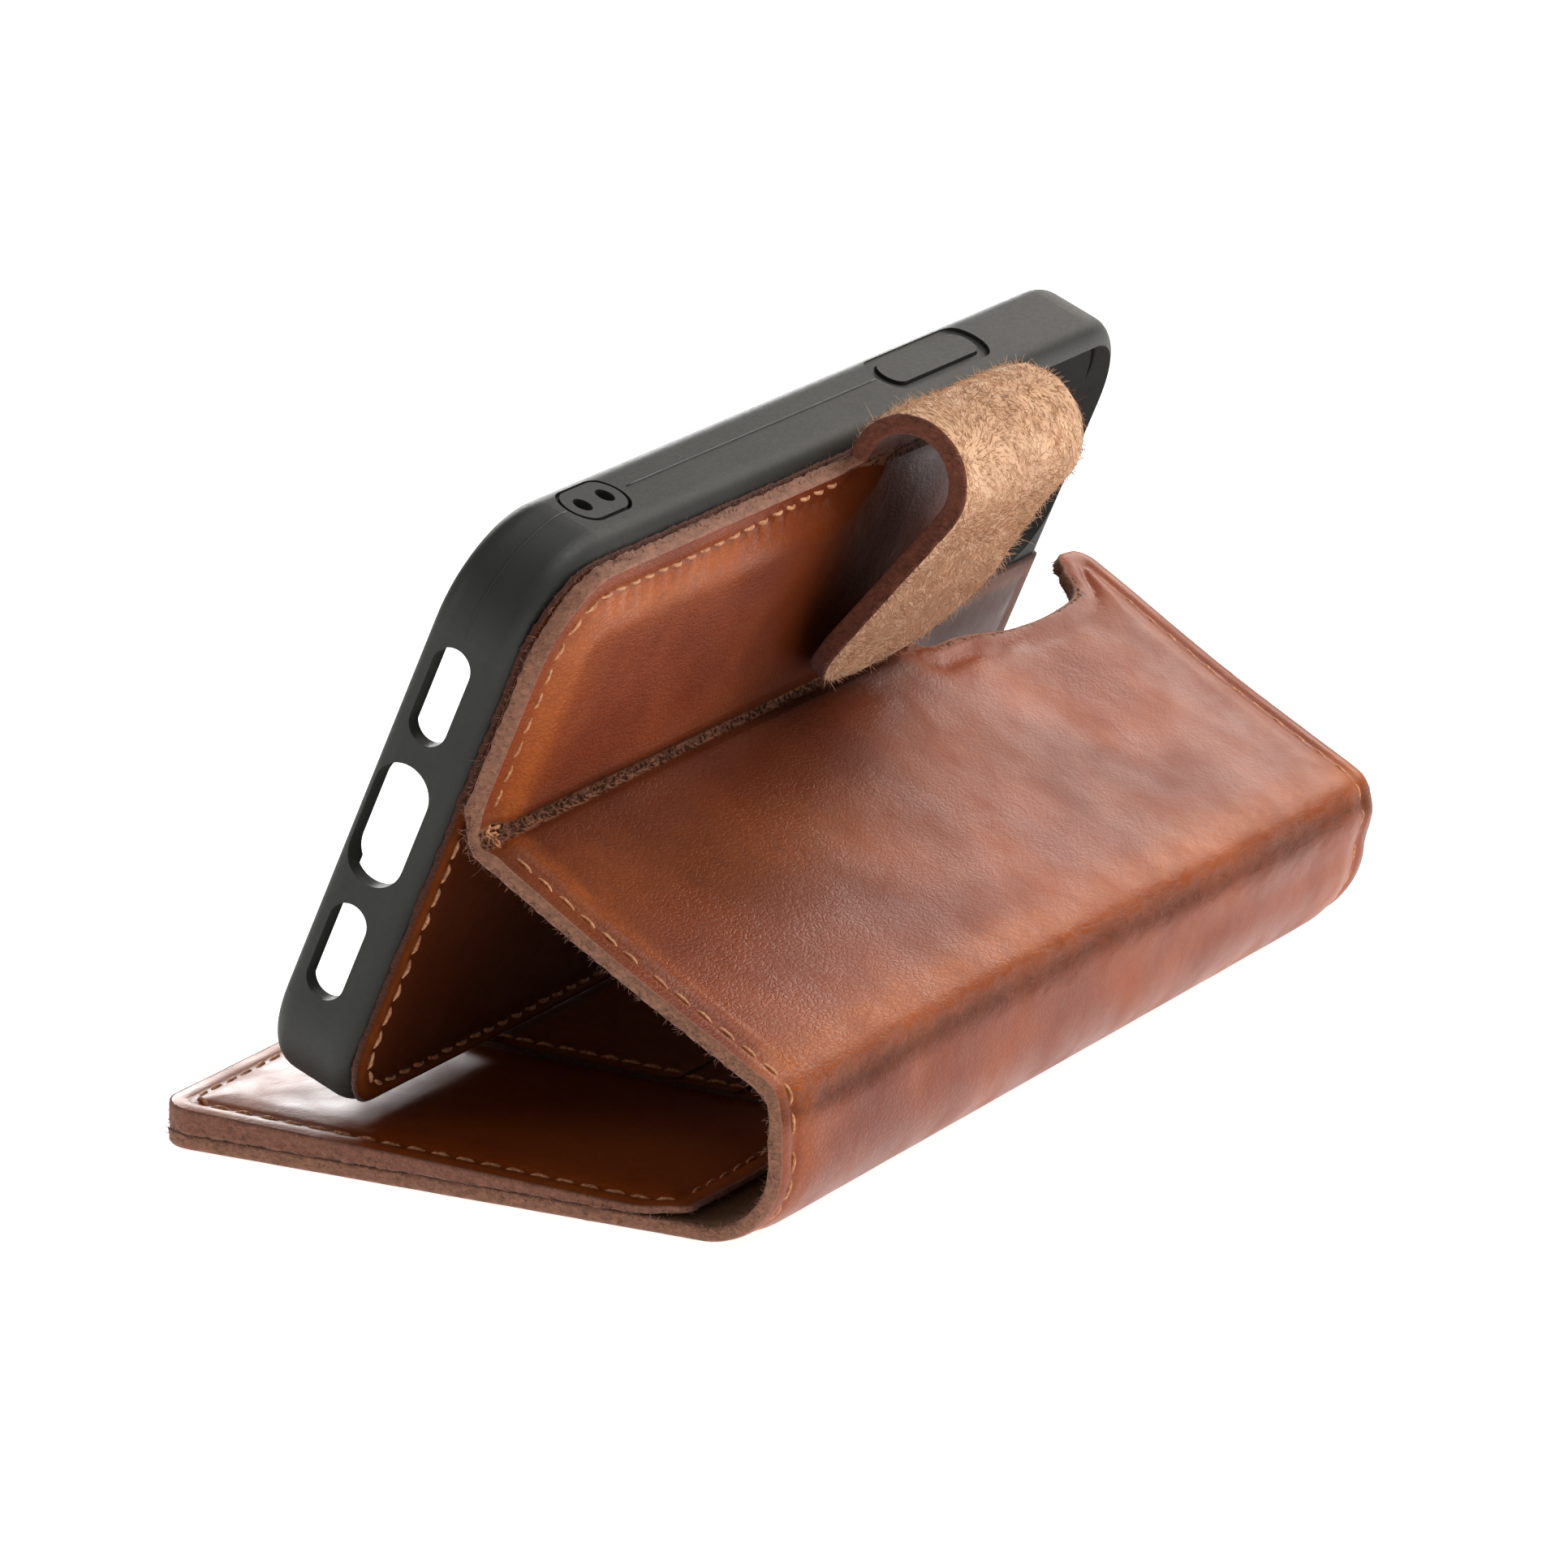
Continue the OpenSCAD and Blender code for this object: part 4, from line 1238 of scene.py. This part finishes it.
def build_tray_lining():
    half = 0.35
    x1, v0, v1 = NEAR_X, 1.5, PANEL_TOP
    cut_x, cut_v, r = -38.0, 42.0, 10.0
    outline = (arc(x1 - r, v0 + r, r, -90, 0) + arc(x1 - r, v1 - r, r, 0, 90)
               + [(cut_x, v1), (cut_x, cut_v + 9)] + arc(cut_x - 9, cut_v + 9, 9, 0, -90)[1:]
               + [(-x1, cut_v)] + arc(-x1 + r, v0 + r, r, 180, 270))
    gauge = edge_gauge(outline)

    def place(x, v, w):
        # the lining follows the tray's rounded edges
        q = TRAY_EDGE_R
        over = np.clip(np.abs(x) - (TRAY_L / 2 - q), 0, q - 0.1)
        low = np.clip(q - np.asarray(v), 0, q - 0.1)
        drop = 2 * q - np.sqrt(q * q - over ** 2) - np.sqrt(q * q - low ** 2)
        return on_tray(x, v, np.asarray(w) + half - drop)

    def height(x, v):
        e = gauge(x, v)
        return (0.30 * smooth(e, SEAM, SEAM + 4) - 0.22 * bell(e, SEAM, 0.6)
                - 0.2 * bell(e, 0, 0.8) + 0.03 * waves(x, v, 12, 71))

    def rub(x, v):
        return 0.55 * bell(gauge(x, v), 1.4, 1.0)

    def dark(x, v):
        return np.clip(0.8 * bell(gauge(x, v), 0, 0.7) + 0.75, 0, 1)

    lining = sheet("tray_lining_sheet", outline, place, half,
                   [TRAY_GRAIN, DARK_EDGE, FLESH_SHADED, FUZZ], rows(-x1, x1, 1.5,
                   [(x1, 8, 0.6)]), rows(v0, v1, 1.5, [(v0, 8, 0.6)]), height,
                   tones=plain_tones(rub, dark))
    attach(lining, "phone_shell")
    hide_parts("tray_lining")
    s = SEAM - 0.3
    loop = ([(x1 - s, CREASE_V - 1.5)] + arc(x1 - r, v0 + r, r - s, 0, -90)
            + arc(-x1 + r, v0 + r, r - s, -90, -180) + [(-x1 + s, cut_v - 14)])
    seam = stitches("tray_lining_stitches", along(loop), place,
                    lambda x, v: half + height(np.asarray(x), np.asarray(v)), radius=0.27)
    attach(seam, "phone_shell")
    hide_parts("tray_lining_stitching")


def build_moulding_line():
    """The thin raised line where the halves of the tray's mould met."""
    r = TRAY_CORNER_R
    x1, v1 = TRAY_L / 2, TRAY_W
    insert, power = 54.7, -28.0
    top_run = [(x, v1) for x in np.arange(power + 13.5, insert - 6.6, 1.5)]
    corner = ([(insert + 6.4, v1)] + arc(x1 - r, v1 - r, r, 90, 0)
              + [(x1, v) for v in np.arange(v1 - r - 1, TRAY_W / 2 + 26, -1.5)])
    wide, proud = 0.22, 0.10
    verts, faces = [], []
    for run in (top_run, corner):
        p = np.array(run)
        way = np.gradient(p, axis=0)
        way /= np.linalg.norm(way, axis=1)[:, None]
        out = np.stack([-way[:, 1], way[:, 0]], axis=1)
        first = sum(len(v) for v in verts)
        ring = []
        for side, lift in ((-wide, -0.3), (-0.5 * wide, 0.6 * proud), (0, proud),
                           (0.5 * wide, 0.6 * proud), (wide, -0.3)):
            q = p + out * lift
            ring.append(on_tray(q[:, 0], q[:, 1], np.full(len(q), -SIDE_Z + side)))
        verts += ring
        n, k = len(p), len(ring)
        at = lambda i, j: first + j * n + i
        for i in range(n - 1):
            for j in range(k):
                l = (j + 1) % k
                faces.append([at(i, j), at(i + 1, j), at(i + 1, l), at(i, l)])
        faces.append([at(0, j) for j in range(k)])
        faces.append([at(n - 1, j) for j in range(k)][::-1])
    line = make_mesh("tray_moulding_line", np.vstack(verts), faces, [RUBBER],
                     [0] * len(faces))
    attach(line, "phone_shell")


def finish_tray():
    """The moulded parts keep their CAD shape and get their materials."""
    for node in ("phone_tray", "power_button", "volume_up_button", "volume_down_button",
                 "lanyard_insert"):
        materials = bpy.data.objects[node].data.materials
        materials.clear()
        materials.append(INSERT if node == "lanyard_insert" else RUBBER)


# ---- studio ----

def area_light(name, at, aim, size, power, tint=(1, 1, 1)):
    data = bpy.data.lights.new(name, "AREA")
    data.shape = "RECTANGLE"
    data.size, data.size_y = size
    data.energy = power
    data.color = tint
    light = bpy.data.objects.new(name, data)
    bpy.context.scene.collection.objects.link(light)
    light.location = at
    light.rotation_mode = "QUATERNION"
    light.rotation_quaternion = (Vector(aim) - Vector(at)).to_track_quat("-Z", "Y")
    return light


def build_studio():
    size = 3.0
    bpy.ops.mesh.primitive_plane_add(size=2 * size, location=(0, 0, -0.0001))
    floor = bpy.context.object
    floor.name = "floor"
    n = Nodes("floor_white")
    n.bump((n.noise(40, 2), 0.05, 0.05))
    n.shader.inputs["Emission Color"].default_value = (1, 1, 1, 1)
    n.shader.inputs["Emission Strength"].default_value = 0.85
    floor.data.materials.append(n.set(color=n.mix(n.noise(3, 2), (0.50, 0.50, 0.50),
                                                  (0.54, 0.54, 0.54)), rough=0.8))
    world = bpy.data.worlds.new("studio")
    bpy.context.scene.world = world
    world.use_nodes = True
    back = world.node_tree.nodes["Background"]
    back.inputs["Color"].default_value = (1.0, 1.0, 1.0, 1)
    back.inputs["Strength"].default_value = 0.20
    centre = (0, 0, 0.03)
    area_light("overhead", (-0.30, 0.60, 0.95), centre, (0.8, 0.8), 10.0)
    area_light("far_left", (-0.88, -0.72, 0.37), centre, (0.45, 0.30), 5.5)
    area_light("far_low", (-0.54, 0.05, 0.27), centre, (0.45, 0.16), 1.0,
               (1.0, 0.93, 0.87))
    area_light("port_fill", (0.80, -0.70, 0.35), centre, (0.50, 0.40), 2.0)
    scene = bpy.context.scene
    scene.view_settings.view_transform = "Standard"
    scene.view_settings.look = "None"
    scene.view_settings.gamma = 0.9
    scene.view_settings.exposure = 0.12


def build_camera():
    """A long lens from the charging end, a little above the case."""
    azimuth, elevation, roll = (math.radians(a) for a in (118.10, 15.62, 0.586))
    target = Vector((49.04, CREASE[0] + 26.99, CREASE[1] + 4.97)) * MM
    back = Vector((math.sin(azimuth) * math.cos(elevation),
                   -math.cos(azimuth) * math.cos(elevation), math.sin(elevation)))
    right = Vector((math.cos(azimuth), math.sin(azimuth), 0))
    up = back.cross(right)
    turned = right * math.cos(roll) + up * math.sin(roll)
    upright = up * math.cos(roll) - right * math.sin(roll)
    data = bpy.data.cameras.new("camera")
    data.sensor_width, data.lens = 36.0, 237.29
    data.clip_start, data.clip_end = 0.05, 20
    camera = bpy.data.objects.new("camera", data)
    bpy.context.scene.collection.objects.link(camera)
    place = Matrix((turned, upright, back)).transposed().to_4x4()
    distance = 1.18696
    place.translation = target + back * distance
    camera.matrix_world = place
    bpy.context.scene.camera = camera


build_camera()
build_studio()
build_hide()
build_hide_seams()
build_card_pockets(build_cover_lining())
build_tray_lining()
build_moulding_line()
finish_tray()
